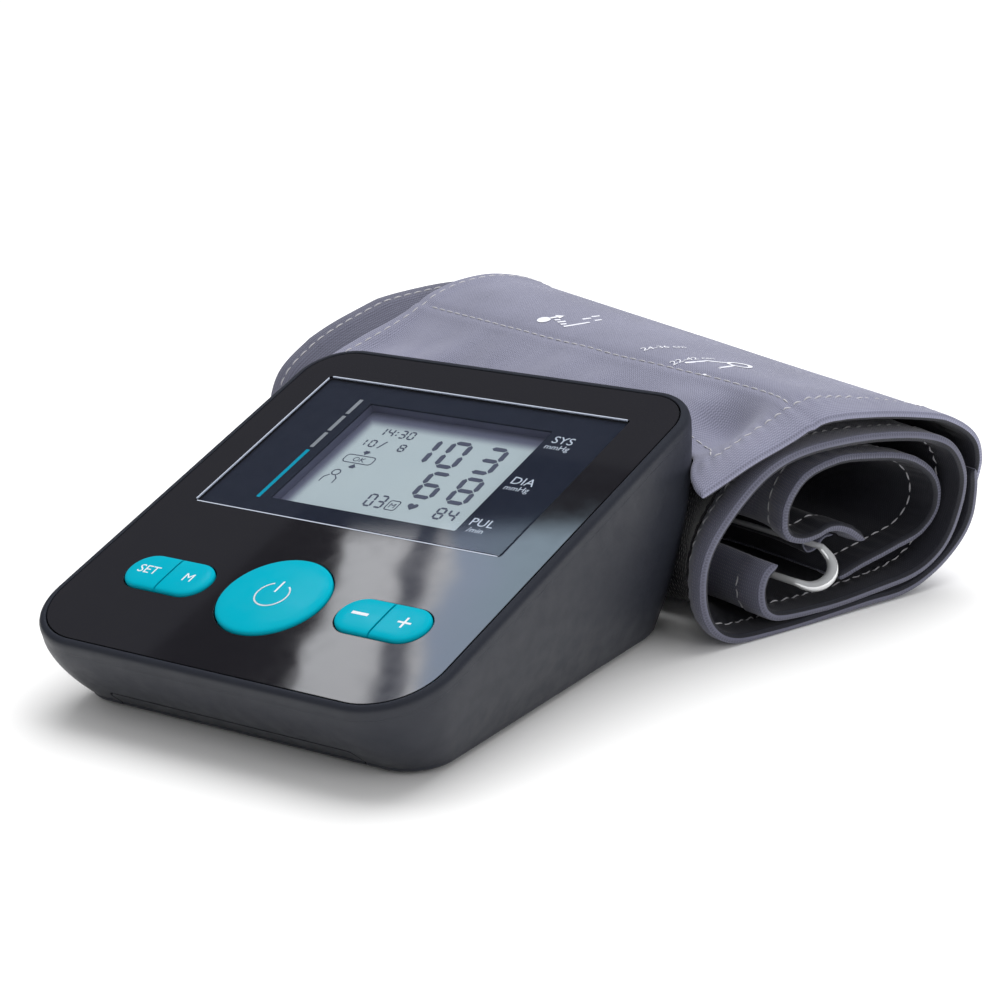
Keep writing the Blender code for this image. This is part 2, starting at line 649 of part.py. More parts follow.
def sheet(name, path, offset, thickness, mat, cuff, x0=-CUFF_LENGTH, x1=0.0):
    """A closed sheet that follows a path across the roll and runs along its length."""
    def side(shift):
        moved = []
        for i, (y, z) in enumerate(path):
            ya, za = path[max(i - 1, 0)]
            yb, zb = path[min(i + 1, len(path) - 1)]
            length = math.hypot(yb - ya, zb - za)
            moved.append((y - (zb - za) / length * shift, z + (yb - ya) / length * shift))
        return moved
    loop = side(offset + thickness / 2) + side(offset - thickness / 2)[::-1]
    stations = [max(min(s, x1), x0) for s in STATIONS]
    stations = sorted(set(stations), reverse=True)
    rings = []
    for s in stations:
        dent = dent_at(s)
        rings.append([place(y, z, s, dent) for y, z in loop])
    return add_solid(name, *skin(rings), mat, cuff, smooth=50)


def dent_at(station):
    for (s0, s1), (d0, d1) in zip(zip(STATIONS, STATIONS[1:]), zip(FRONT_DENT, FRONT_DENT[1:])):
        if s1 <= station <= s0:
            return d0 + (d1 - d0) * (station - s0) / (s1 - s0)
    return 0.0


def cuff_roll(cuff):
    path = roll_path(-0.10, 1.80, 56)
    lining = material("cuff_lining", (0.07, 0.08, 0.10), 0.85)
    sheet("cuff_outer_cover", path, LAYER_STEP, SHEET, fabric(), cuff)
    sheet("cuff_inner_cover", path, -LAYER_STEP, SHEET, lining, cuff)
    latex = material("bladder_rubber", (0.11, 0.11, 0.12), 0.6)
    sheet("cuff_bladder", path[4:37], 0.0, BLADDER, latex, cuff, -140.0, -10.0)
    loop_pile = material("loop_pile", (0.05, 0.055, 0.07), 0.95)
    sheet("loop_patch", roll_path(0.13, 0.36, 12), LAYER_STEP + SHEET / 2 + GAP + 0.4, 0.8, loop_pile,
          cuff, -140.0, -12.0)


def flap_path():
    points = [(p.x, p.y) for p in smooth_path([(y, z, 0.0) for y, z in FLAP_PATH], 3)]
    return points[::-1]


def cuff_flap(cuff):
    """The loose outer end of the cuff, over the top of the roll, with its hook patch inside."""
    path = flap_path()
    sheet("cuff_flap", path, 0.0, 1.2, fabric(), cuff)
    hooks = material("hook_patch", (0.05, 0.05, 0.06), 0.9)
    sheet("hook_patch", path[4:9], -1.4, 0.9, hooks, cuff, -138.0, -14.0)


def cuff_ring(cuff):
    """Long wire ring whose upper bar turns in a sewn sleeve at the cuff's inner end."""
    y, z = RING_PIVOT
    down = Vector((0.0, -5.5, -8.0)).normalized() * RING_HANG
    skew0, skew1 = (CUFF_SKEW * -s / CUFF_LENGTH for s in (-4.0, -146.0))
    top = (Vector((-4.0, y + skew0, z)), Vector((-146.0, y + skew1, z)))
    along = (top[1] - top[0]).normalized()
    corner = 4.0
    path = []
    loop = (top[0], top[1], top[1] + down, top[0] + down)
    for i, point in enumerate(loop):
        before = (loop[i - 1] - point).normalized() * corner
        after = (loop[(i + 1) % 4] - point).normalized() * corner
        for k in range(5):
            t = k / 4
            path.append(point + before * (1 - t) ** 2 + after * t ** 2)
    across = along.cross(down).normalized()
    rings = []
    for i, point in enumerate(path):
        ahead = (path[(i + 1) % len(path)] - path[i - 1]).normalized()
        side = across.cross(ahead)
        turns = [2 * math.pi * k / 8 for k in range(8)]
        rings.append([point + (side * math.cos(t) + across * math.sin(t)) * RING_WIRE for t in turns])
    add_solid("cuff_ring", *skin(rings, close=True), steel(), cuff, tuple(top[0]), 60)
    sleeve_start = top[0] + along * 12.0
    length = (top[1] - top[0]).length - 24.0
    outer, inner = RING_WIRE + GAP + 0.9, RING_WIRE + GAP
    profile = ((0.0, inner), (0.0, outer), (length, outer), (length, inner))
    turned("ring_sleeve", profile, tuple(sleeve_start), tuple(along), fabric(), cuff, 16, close=True)


# ---------------------------------------------------------------- assembly

def build():
    clear_scene()
    shift = Vector((*SET_SHIFT, 0.0)) * MM
    frame = empty("set_frame", None, Matrix.Translation(shift))
    face = empty("face_frame", frame, Matrix.Translation((0, 0, FACE_HEIGHT * MM))
                 @ Matrix.Rotation(FACE_SLOPE, 4, "X"))
    corner = Vector((*CUFF_CORNER, 0.0)) * MM
    cuff = empty("cuff_frame", frame, Matrix.Translation(corner)
                 @ Matrix.Rotation(CUFF_ANGLE, 4, "Z"))
    lower_housing(frame)
    battery_door(frame)
    upper_housing(face, frame)
    front_panel(face)
    display(face)
    main_board(face)
    buttons(face)
    battery_bay(frame)
    batteries(frame)
    battery_contacts(frame)
    air_system(frame, face)
    screws(frame)
    feet(frame)
    hose_socket(frame)
    hose_plug(frame)
    air_hose(frame)
    air_port(cuff)
    cuff_roll(cuff)
    cuff_flap(cuff)
    cuff_ring(cuff)


build()
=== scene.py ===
"""Looks for the blood pressure monitor and its rolled cuff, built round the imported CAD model.

Lengths are in millimetres and turned into metres by the three places:
  on_case(x, y, z)   X to the right, Y to the back, Z up from the table
  on_face(x, s, h)   on the sloping face: X to the right, s up the slope, h out of the face
  on_cuff(a, b, z)   a along the roll (0 at its right end, falling to the left), b across it, z up
"""
import json
import math

import bmesh
import bpy
import numpy as np
from mathutils import Matrix, Vector, noise


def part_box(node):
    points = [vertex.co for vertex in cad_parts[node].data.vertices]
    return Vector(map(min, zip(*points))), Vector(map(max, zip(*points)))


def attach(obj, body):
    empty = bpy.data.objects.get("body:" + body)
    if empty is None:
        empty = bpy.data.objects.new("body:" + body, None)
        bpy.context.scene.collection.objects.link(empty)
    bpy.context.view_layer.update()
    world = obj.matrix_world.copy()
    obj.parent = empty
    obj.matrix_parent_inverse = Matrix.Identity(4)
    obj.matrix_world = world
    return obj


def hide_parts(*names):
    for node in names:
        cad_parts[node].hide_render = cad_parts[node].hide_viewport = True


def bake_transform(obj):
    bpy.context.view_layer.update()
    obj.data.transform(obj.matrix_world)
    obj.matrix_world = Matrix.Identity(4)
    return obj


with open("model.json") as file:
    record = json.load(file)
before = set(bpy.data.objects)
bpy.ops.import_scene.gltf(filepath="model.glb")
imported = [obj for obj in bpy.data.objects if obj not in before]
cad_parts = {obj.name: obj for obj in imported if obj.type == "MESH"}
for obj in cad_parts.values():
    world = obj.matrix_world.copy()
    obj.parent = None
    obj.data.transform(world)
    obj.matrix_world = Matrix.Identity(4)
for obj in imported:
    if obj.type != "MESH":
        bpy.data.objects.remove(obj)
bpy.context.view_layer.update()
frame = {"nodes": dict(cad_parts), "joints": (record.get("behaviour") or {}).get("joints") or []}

MM = 0.001
GAP = 0.3                      # running gap between neighbouring pieces

# ---------------------------------------------------------------- sizes, as in the CAD

CASE_WIDTH, FACE_LENGTH, FACE_HEIGHT = 103.0, 112.2, 17.9
FACE_RADIUS_FRONT, FACE_RADIUS_REAR = 16.0, 12.0
BASE_HALF_FRONT, BASE_HALF_REAR = 45.7, 43.2
BASE_FRONT, BASE_REAR = 11.2, 108.5
BASE_RADIUS_FRONT, BASE_RADIUS_REAR = 9.6, 18.3
BASE_HEIGHT, BASE_EDGE = 1.0, 0.9
FLARE_FRONT, FLARE_REAR = 1.5, 2.0
WALL, FLOOR_TOP = 2.2, 2.7
FRAME_DEPTH, DECK_TOP, SEAT_INSET = 2.8, -1.5, 1.8
PANEL_TOP, PANEL_BOTTOM = -0.1, -1.2
WINDOW = (-41.5, 39.1, 50.3, 100.4)
VIEW = (-25.3, 23.4, 56.6, 93.6)
LCD_TOP, LCD_BOTTOM = -3.1, -4.5
ROUND_BUTTON, ROUND_RADIUS = (0.0, 25.8), 12.2
PILL_X, PILL_Y, PILL_LENGTH, PILL_HEIGHT = 27.8, 25.6, 21.8, 10.6
BUTTON_BOTTOM, FLANGE_TOP, FLANGE = -3.9, -3.1, 0.9
SCREWS = ((-38.8, 44.0), (38.8, 44.0), (-33.5, 94.0), (33.5, 94.0))
DOOR, DOOR_LIP = (-32.0, 32.0, -5.0, 70.7), 5.6
SOCKET_Y, SOCKET_Z, PLUG_X = 74.0, 15.5, -55.0
HOSE_RADIUS, HOSE_BORE = 2.6, 1.5
PORT = (-128.0, -34.4, 12.0)
CUFF_LENGTH = 150.0
HINGE = (63.5, 32.5)           # the flap's fold, across and up, at the right end

JOINTS = {j["name"]: j for j in frame["joints"]}
CASE_LOW, CASE_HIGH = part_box("upper_housing")
HOME = Vector(((CASE_LOW.x + CASE_HIGH.x) / 2, CASE_LOW.y, 0.0))
PRESS = Vector(JOINTS["start_stop_press"]["axis"]).normalized()
SLOPE = math.atan2(PRESS.y, -PRESS.z)
ACROSS = Vector(JOINTS["cuff_slide"]["axis"]).normalized()
ALONG = Vector((ACROSS.y, -ACROSS.x, 0.0))
FOLD_POINT = Vector(JOINTS["flap_peel"]["pos_m"])
CUFF_HOME = FOLD_POINT - ACROSS * HINGE[0] * MM
CUFF_HOME.z = 0.0


def on_case(x, y, z):
    return HOME + Vector((x, y, z)) * MM


def on_face(x, s, h):
    c, n = math.cos(SLOPE), math.sin(SLOPE)
    return on_case(x, s * c - h * n, FACE_HEIGHT + s * n + h * c)


def on_cuff(a, b, z):
    return CUFF_HOME + (ALONG * a + ACROSS * b) * MM + Vector((0.0, 0.0, z * MM))


# ---------------------------------------------------------------- materials

def srgb(red, green, blue):
    """Linear colour from 0-255 screen values."""
    def one(v):
        v /= 255.0
        return v / 12.92 if v <= 0.04045 else ((v + 0.055) / 1.055) ** 2.4
    return (one(red), one(green), one(blue), 1.0)


class Nodes:
    """Short names for building a node tree."""

    def __init__(self, name):
        self.mat = bpy.data.materials.new(name)
        self.mat.use_nodes = True
        self.tree = self.mat.node_tree
        self.shader = self.tree.nodes["Principled BSDF"]

    def add(self, kind, **values):
        node = self.tree.nodes.new(kind)
        for key, value in values.items():
            if key.startswith("in_"):
                self.feed(node.inputs[key[3:].replace("_", " ")], value)
            else:
                setattr(node, key, value)
        return node

    def link(self, source, target):
        self.tree.links.new(source, target)

    def feed(self, socket, value):
        """Links a node's output to the socket, or sets a plain value on it."""
        if isinstance(value, bpy.types.NodeSocket):
            self.link(value, socket)
        else:
            socket.default_value = value

    def surface(self, **values):
        """Feeds the shader's inputs and returns the finished material."""
        for key, value in values.items():
            self.feed(self.shader.inputs[key.replace("_", " ")], value)
        return self.mat

    def math(self, operation, first, second=None):
        node = self.add("ShaderNodeMath", operation=operation)
        for i, value in enumerate((first, second)):
            if value is not None:
                self.feed(node.inputs[i], value)
        return node.outputs[0]

    def noise(self, grain, detail=2.0, vector=None):
        """Noise whose lumps are about grain millimetres wide."""
        tex = self.add("ShaderNodeTexNoise", in_Scale=1.0 / (grain * MM), in_Detail=detail)
        if vector is None:
            vector = self.add("ShaderNodeTexCoord").outputs["Object"]
        self.link(vector, tex.inputs["Vector"])
        return tex.outputs["Fac"]

    def mix(self, factor, first, second):
        node = self.add("ShaderNodeMix", data_type="RGBA")
        for i, value in ((0, factor), (6, first), (7, second)):
            self.feed(node.inputs[i], value)
        return node.outputs[2]

    def spread(self, value, low, high):
        return self.add("ShaderNodeMapRange", in_From_Min=0.3, in_From_Max=0.7, in_To_Min=low,
                        in_To_Max=high, in_Value=value).outputs["Result"]

    def bump(self, height, depth, strength=1.0, under=None):
        node = self.add("ShaderNodeBump", in_Distance=depth * MM, in_Strength=strength,
                        in_Height=height)
        if under is not None:
            self.link(under, node.inputs["Normal"])
        return node.outputs["Normal"]

    def rounded(self, radius):
        """A normal that rounds cut edges a little, as a mould does."""
        return self.add("ShaderNodeBevel", samples=4, in_Radius=radius * MM).outputs["Normal"]

    def parts_of(self, vector):
        """The X, Y and Z outputs of a vector."""
        split = self.add("ShaderNodeSeparateXYZ")
        self.link(vector, split.inputs[0])
        return split.outputs


def moulded(name, color, shade, roughness, grain=0.35, depth=0.012, metallic=0.0, coat=0.0,
            edge=0.0, span=0.06, specular=0.5):
    """Moulded or machined surface: slight mottling, varied gloss and a fine grain."""
    n = Nodes(name)
    mottled = n.mix(n.noise(9.0, 3.0), color, shade)
    gloss = n.spread(n.noise(4.0), roughness - span, roughness + span)
    under = n.rounded(edge) if edge else None
    return n.surface(Base_Color=mottled, Roughness=gloss, Metallic=metallic, Coat_Weight=coat,
                     Specular_IOR_Level=specular,
                     Normal=n.bump(n.noise(grain, 3.0), depth, under=under))


def woven(name, color, shade, pitch, depth, sheen=0.25, fuzz=0.0, roughness=0.62):
    """Plain weave that follows the sheet's own lengths, kept in its uv map in millimetres."""
    n = Nodes(name)
    place = n.parts_of(n.add("ShaderNodeUVMap", uv_map="weave").outputs["UV"])
    turn = 2 * math.pi / pitch
    warp = n.math("SINE", n.math("MULTIPLY", place["X"], turn))
    weft = n.math("SINE", n.math("MULTIPLY", place["Y"], turn * 1.15))
    cross = n.math("MULTIPLY", warp, weft)
    ridges = n.math("ADD", n.math("MULTIPLY", weft, 0.35), n.math("MULTIPLY", cross, 0.5))
    level = n.math("ADD", n.math("MULTIPLY", ridges, 0.5), 0.5)
    slub = n.noise(0.8, 3.0)
    height = n.math("ADD", level, n.math("MULTIPLY", slub, 0.35 + fuzz))
    worn = n.mix(n.spread(n.noise(22.0, 4.0), 0.0, 1.0), color, shade)
    # painted shade in the weave's hollows: the colour goes towards black where the weave sinks
    dark = n.mix(n.spread(level, 0.42, 0.0), worn, (0.0, 0.0, 0.0, 1.0))
    return n.surface(Base_Color=dark, Sheen_Weight=sheen, Sheen_Roughness=0.4,
                     Roughness=n.spread(n.noise(6.0), roughness - 0.06, roughness + 0.08),
                     Normal=n.bump(height, depth, under=n.bump(n.noise(7.0, 3.0), 0.12)))


def window_clear(name):
    """Clear hard-coated plastic: straight-through light and a sharp reflection."""
    n = Nodes(name)
    clear = n.add("ShaderNodeBsdfTransparent", in_Color=(0.90, 0.92, 0.95, 1.0))
    gloss = n.add("ShaderNodeBsdfGlossy", in_Roughness=0.03)
    n.link(n.spread(n.noise(30.0), 0.02, 0.05), gloss.inputs["Roughness"])
    inner = n.add("ShaderNodeNewGeometry").outputs["Backfacing"]
    weight = n.math("MULTIPLY", n.add("ShaderNodeFresnel", in_IOR=1.45).outputs[0],
                    n.math("SUBTRACT", 1.0, inner))
    blend = n.add("ShaderNodeMixShader")
    for i, source in enumerate((weight, clear.outputs[0], gloss.outputs[0])):
        n.link(source, blend.inputs[i])
    n.link(blend.outputs[0], n.tree.nodes["Material Output"].inputs["Surface"])
    return n.mat


def lcd_face(name):
    """Grey-green display with painted shade in a band along its far and left edges. Its uv map
    holds the place on the sloping face in millimetres."""
    n = Nodes(name)
    split = n.add("ShaderNodeSeparateXYZ")
    n.link(n.add("ShaderNodeUVMap", uv_map="weave").outputs["UV"], split.inputs[0])
    shade_bands = []
    # painted shade: the LCD darkens towards its far and left edges, standing in for the well walls'
    # shadow
    for axis, inside, outside in (("Y", 87.8, 91.4), ("X", -21.0, -24.2)):
        band = n.add("ShaderNodeMapRange", in_From_Min=inside, in_From_Max=outside,
                     in_Value=split.outputs[axis], interpolation_type="SMOOTHSTEP")
        shade_bands.append(band.outputs["Result"])
    light = n.mix(n.noise(9.0, 3.0), srgb(197, 205, 200), srgb(192, 201, 198))
    return n.surface(Base_Color=n.mix(n.math("MAXIMUM", *shade_bands), light, srgb(112, 112, 127)),
                     Roughness=n.spread(n.noise(4.0), 0.45, 0.55), Specular_IOR_Level=0.1)


def board_green(name):
    """Solder mask with faint copper lines under it."""
    n = Nodes(name)
    coord = n.add("ShaderNodeTexCoord").outputs["Object"]
    brick = n.add("ShaderNodeTexBrick", in_Scale=1.0 / (4.5 * MM), in_Mortar_Size=0.06,
                  in_Vector=coord, in_Color1=(0.012, 0.12, 0.05, 1.0),
                  in_Color2=(0.010, 0.10, 0.045, 1.0), in_Mortar=(0.03, 0.22, 0.09, 1.0))
    return n.surface(Base_Color=brick.outputs["Color"],
                     Roughness=n.spread(n.noise(3.0), 0.25, 0.4))


def cell_wrap(name):
    """Printed battery sleeve: pale band, dark body and a thin line between, along its length."""
    n = Nodes(name)
    place = n.parts_of(n.add("ShaderNodeTexCoord").outputs["Object"])
    wave = n.math("SINE", n.math("MULTIPLY", place["Y"], 2 * math.pi / (50.0 * MM)))
    band = n.math("GREATER_THAN", wave, 0.55)
    return n.surface(Base_Color=n.mix(band, (0.035, 0.037, 0.042, 1.0), (0.62, 0.63, 0.65, 1.0)),
                     Roughness=n.spread(n.noise(2.0), 0.22, 0.34))


CASE = moulded("case_plastic", srgb(38, 40, 48), srgb(43, 46, 54), 0.44, 0.28, 0.010, edge=0.25,
               specular=0.35)
GLOSS = moulded("gloss_black", (0.0125, 0.0120, 0.0150, 1.0), (0.0140, 0.0135, 0.0165, 1.0),
                0.055, 30.0, 0.0, coat=0.3, span=0.015, edge=0.2)
MASK = moulded("window_print", srgb(40, 43, 54), srgb(42, 45, 56), 0.5, 0.5, 0.0, specular=0.1)
TEAL = moulded("teal_plastic", srgb(0, 158, 180), srgb(0, 161, 183), 0.2, 2.0, 0.0,
               edge=0.15, specular=0.06)
BLACK = moulded("black_plastic", srgb(22, 22, 25), srgb(27, 27, 30), 0.5, 0.4, 0.015)
LCD_FACE = lcd_face("lcd_face")
WELL = moulded("display_well", srgb(104, 104, 121), srgb(99, 99, 116), 0.6, 0.5, 0.004,
               specular=0.1)
# Painted highlight: the pale colour of the strips along the window's edges, for light caught on its
# rim.
WINDOW_HIGHLIGHT = moulded("window_edge_highlight", srgb(196, 203, 218), srgb(182, 190, 206), 0.35, 0.5, 0.002)
LCD_INK = moulded("lcd_ink", srgb(88, 90, 104), srgb(94, 96, 110), 0.6, 0.5, 0.001)
PRINT_WHITE = moulded("printed_white", srgb(222, 226, 230), srgb(214, 219, 224), 0.5, 0.4, 0.004)
PRINT_GREY = moulded("printed_grey", srgb(150, 151, 150), srgb(158, 158, 157), 0.5, 0.4, 0.004)
RUBBER = moulded("rubber", srgb(34, 34, 37), srgb(41, 41, 44), 0.72, 0.5, 0.03)
HOSE = moulded("hose_rubber", srgb(56, 58, 66), srgb(62, 64, 72), 0.5, 0.6, 0.012)
PLUG = moulded("plug_plastic", srgb(52, 54, 62), srgb(58, 60, 68), 0.42, 0.3, 0.012, edge=0.2)
STEEL = moulded("brushed_steel", (0.55, 0.56, 0.58, 1.0), (0.62, 0.63, 0.65, 1.0), 0.3, 0.5,
                0.01, metallic=1.0)
CHROME = moulded("ring_chrome", (0.86, 0.87, 0.88, 1.0), (0.80, 0.81, 0.82, 1.0), 0.16, 1.2,
                 0.02, metallic=0.6, span=0.05)
PUMP = moulded("pump_plastic", srgb(205, 205, 200), srgb(196, 196, 190), 0.5, 0.4, 0.015)
TUBE = moulded("silicone_tube", srgb(214, 214, 208), srgb(205, 205, 199), 0.42, 0.6, 0.01)
CONNECTOR = moulded("connector_rubber", srgb(190, 190, 196), srgb(176, 176, 182), 0.6, 0.4, 0.02)
BOARD = board_green("circuit_board")
CELL = cell_wrap("battery_wrap")
CLEAR = window_clear("window_plastic")
FABRIC = woven("cuff_fabric", srgb(150, 151, 174), srgb(138, 139, 161), 0.66, 0.16)
# The wrap's, coil's and ring tab's cloth is the flap's cloth darkened: painted shade on the roll's
# lower layers.
SHADED_WRAP_CLOTH = woven("wrap_fabric_painted_shade", srgb(114, 115, 134), srgb(104, 105, 123), 0.66, 0.16)
# Inner faces of the cuff's sheets: the same grey cloth darkened, painted shade inside the roll and
# under the flap.
INNER_SHADE_CLOTH = woven("cuff_lining", srgb(46, 47, 56), srgb(38, 39, 47), 0.7, 0.07, sheen=0.1)
# Dark loop pile: the loop patch's own colour, and painted shade where the pad runs down the wrap's
# front.
LOOP_PILE_AND_SHADE = woven("loop_pile", srgb(26, 27, 33), srgb(34, 35, 42), 1.1, 0.25, sheen=0.3, fuzz=0.5,
             roughness=0.85)
HOOKS = woven("hook_tape", srgb(24, 25, 30), srgb(30, 31, 37), 1.3, 0.3, sheen=0.0, roughness=0.5)
THREAD = moulded("thread", srgb(196, 195, 198), srgb(176, 175, 182), 0.7, 0.25, 0.05)
INK = moulded("cuff_ink", srgb(232, 233, 240), srgb(222, 224, 233), 0.6, 0.6, 0.02)


# ---------------------------------------------------------------- mesh helpers

def show(name, data):
    """A new object in the scene."""
    obj = bpy.data.objects.new(name, data)
    bpy.context.scene.collection.objects.link(obj)
    return obj


def map_corners(mesh, name, uv):
    """A uv map from one place for each vertex."""
    layer = mesh.uv_layers.new(name=name)
    corners = np.zeros(len(mesh.loops), np.int32)
    mesh.loops.foreach_get("vertex_index", corners)
    layer.data.foreach_set("uv", np.asarray(uv, np.float32)[corners].ravel())


def add_piece(name, verts, faces, mats, body=None, stands_for=(), slot=None, smooth=35.0,
              slots=None, uv=None):
    """One closed mesh in row-frame metres. slots gives each face's material, uv each corner's."""
    mesh = bpy.data.meshes.new(name)
    mesh.from_pydata([tuple(v) for v in verts], [], faces)
    for mat in mats if isinstance(mats, (list, tuple)) else [mats]:
        mesh.materials.append(mat)
    if slots is not None:
        mesh.polygons.foreach_set("material_index", slots)
    if uv is not None:
        map_corners(mesh, "weave", uv)
    bm = bmesh.new()
    bm.from_mesh(mesh)
    bmesh.ops.recalc_face_normals(bm, faces=bm.faces)
    bm.to_mesh(mesh)
    bm.free()
    return settle_piece(show(name, mesh), body, stands_for, slot, smooth)


def settle_piece(obj, body=None, stands_for=(), slot=None, smooth=None):
    if smooth is not None:
        obj.data.shade_smooth()
        obj.data.set_sharp_from_angle(angle=math.radians(smooth))
    if body:
        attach(obj, body)
    if stands_for:
        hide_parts(*stands_for)
    return obj


def skin(rings, close=False):
    """Side faces between rings of equal length, with caps unless the last ring meets the first."""
    count = len(rings[0])
    verts = [p for ring in rings for p in ring]
    faces = []
    for r in range(len(rings) if close else len(rings) - 1):
        a, b = r * count, ((r + 1) % len(rings)) * count
        for k in range(count):
            n = (k + 1) % count
            faces.append((a + k, a + n, b + n, b + k))
    if not close:
        faces.append(tuple(range(count)))
        faces.append(tuple(range(len(verts) - count, len(verts))))
    return verts, faces


def join(parts):
    """Vertices and faces of several parts as one mesh."""
    verts, faces = [], []
    for part_verts, part_faces in parts:
        faces += [tuple(i + len(verts) for i in face) for face in part_faces]
        verts += part_verts
    return verts, faces


def prism(name, outline, low, high, where, mat=None, **extra):
    rings = [[where(x, y, z) for x, y in outline] for z in (low, high)]
    return add_piece(name, *skin(rings), mat or CASE, **extra)


def bake(obj):
    """Applies the modifiers, leaving a plain mesh."""
    depsgraph = bpy.context.evaluated_depsgraph_get()
    mesh = bpy.data.meshes.new_from_object(obj.evaluated_get(depsgraph))
    obj.modifiers.clear()
    obj.data = mesh
    return obj


def cut(obj, tools, operation="DIFFERENCE"):
    for tool in tools:
        mod = obj.modifiers.new("cut", "BOOLEAN")
        mod.operation, mod.solver, mod.object = operation, "EXACT", tool
    bake(obj)
    for tool in tools:
        bpy.data.objects.remove(tool)
    return obj


def soften(obj, width, segments=2, angle=50.0):
    """Rounds the sharp edges of a cut piece."""
    mod = obj.modifiers.new("round", "BEVEL")
    mod.width, mod.segments = width * MM, segments
    mod.limit_method, mod.angle_limit = "ANGLE", math.radians(angle)
    mod.use_clamp_overlap = True
    return bake(obj)


# ---------------------------------------------------------------- outlines

def arc(cx, cy, radius, start, end, steps):
    turn = [math.radians(start + (end - start) * k / steps) for k in range(steps + 1)]
    return [(cx + radius * math.cos(t), cy + radius * math.sin(t)) for t in turn]


def box_outline(x0, x1, y0, y1):
    return [(x0, y0), (x1, y0), (x1, y1), (x0, y1)]


def circle(cx, cy, radius, steps=48):
    return arc(cx, cy, radius, 0, 360, steps)[:-1]


def rounded_box(x0, x1, y0, y1, radius, steps=6):
    corners = ((x1, y1, 0), (x0, y1, 90), (x0, y0, 180), (x1, y0, 270))
    points = []
    for x, y, start in corners:
        cx = x - radius if x == x1 else x + radius
        cy = y - radius if y == y1 else y + radius
        points += arc(cx, cy, radius, start, start + 90, steps)
    return points


def face_rings(outline, levels):
    """Rings on the sloping face, from (distance given to the outline, height) pairs."""
    return [[on_face(x, s, h) for x, s in outline(out)] for out, h in levels]


def case_outline(half_front, half_rear, front, rear, radius_front, radius_rear, steps=16):
    rr, rf = radius_rear, radius_front
    return (arc(half_rear - rr, rear - rr, rr, 0, 90, steps)
            + arc(rr - half_rear, rear - rr, rr, 90, 180, steps)
            + arc(rf - half_front, front + rf, rf, 180, 270, steps)
            + arc(half_front - rf, front + rf, rf, 270, 360, steps))


def face_outline(inset=0.0):
    half = CASE_WIDTH / 2 - inset
    return case_outline(half, half, inset, FACE_LENGTH - inset,
                        FACE_RADIUS_FRONT - inset, FACE_RADIUS_REAR - inset)


# ---------------------------------------------------------------- monitor case

def base_outline(inset):
    return case_outline(BASE_HALF_FRONT - inset, BASE_HALF_REAR - inset, BASE_FRONT + inset,
                        BASE_REAR - inset, BASE_RADIUS_FRONT - inset,
                        BASE_RADIUS_REAR - inset)


def wall_ring(rise, inset, depth):
    """A ring of the case's wall. rise runs from 0 at the base to 1, depth below the face."""
    c, n = math.cos(SLOPE), math.sin(SLOPE)
    ring = []
    for (tx, ts), (bx, by) in zip(face_outline(inset), base_outline(inset)):
        flare = FLARE_FRONT + (FLARE_REAR - FLARE_FRONT) * ts / FACE_LENGTH
        out = 1 - (1 - rise) ** flare
        ty, tz = ts * c + depth * n, FACE_HEIGHT + ts * n - depth * c
        low = BASE_HEIGHT + BASE_EDGE
        ring.append(on_case(bx + (tx - bx) * out, by + (ty - by) * out, low + (tz - low) * rise))
    return ring


def case_shell(name, **extra):
    """The tub under the face: outer wall, rounded base edge, floor and inner wall."""
    depth = FRAME_DEPTH + 0.02
    count = 22
    outer = [wall_ring(1 - (1 - k / count) ** 0.8, 0.0, depth) for k in range(count, -1, -1)]
    edge = []
    for step in range(1, 7):
        turn = math.radians(15 * step)
        inset = BASE_EDGE * (1 - math.cos(turn))
        height = BASE_HEIGHT + BASE_EDGE * (1 - math.sin(turn))
        edge.append([on_case(x, y, height) for x, y in base_outline(inset)])
    lap = [wall_ring(1.0, inset, depth - 0.6) for inset in (0.03, WALL)]
    inner = [wall_ring(rise, WALL, depth) for rise in (0.7, 0.4, 0.2)]
    floor = [Vector((p.x, p.y, FLOOR_TOP * MM)) for p in wall_ring(0.08, WALL, depth)]
    rings = edge[::-1] + outer[::-1] + lap + inner + [floor]
    return add_piece(name, *skin(rings), CASE, **extra)


def door_block(shrink):
    x0, x1, y0, y1 = DOOR
    outline = rounded_box(x0 + shrink, x1 - shrink, y0, y1 - shrink, 3.0)
    low = prism("door_block", outline, -1.0, DOOR_LIP - shrink, on_case)
    return soften(low, 1.6, 4, 60)


def case_body():
    """Lower housing with screw bosses, screw holes, the door opening and the hose socket."""
    shell = case_shell("case_body")
    bosses = [prism(f"boss_{i}", circle(x, y, 4.6, 32), 2.4, 5.4, on_case)
              for i, (x, y) in enumerate(SCREWS)]
    cut(shell, bosses, "UNION")
    tools = [door_block(0.0)]
    for i, (x, y) in enumerate(SCREWS):
        tools.append(prism(f"head_{i}", circle(x, y, 3.2, 32), -1.0, 3.4, on_case))
        tools.append(prism(f"shank_{i}", circle(x, y, 1.6, 24), 3.0, 7.0, on_case))
    hole = [[on_case(x, SOCKET_Y + y, SOCKET_Z + z) for y, z in circle(0, 0, 6.8)]
            for x in (-60.0, -40.0)]
    tools.append(add_piece("socket_hole", *skin(hole), CASE))
    cut(shell, tools)
    settle_piece(shell, "monitor", ("lower_housing",), "case_plastic", 35)


def battery_door():
    door = case_shell("battery_door_cover")
    cut(door, [door_block(GAP)], "INTERSECT")
    settle_piece(door, "battery_door", ("battery_door",), "case_plastic", 35)


RIM_PROFILE = ((0.0, -2.8), (0.0, -1.9), (0.02, -1.4), (0.12, -0.95), (0.3, -0.58), (0.55, -0.3),
               (0.85, -0.12), (1.15, -0.03), (1.4, 0.0), (1.62, -0.01), (1.72, -0.05),
               (1.78, -0.12), (1.8, -0.24), (1.8, -2.8))


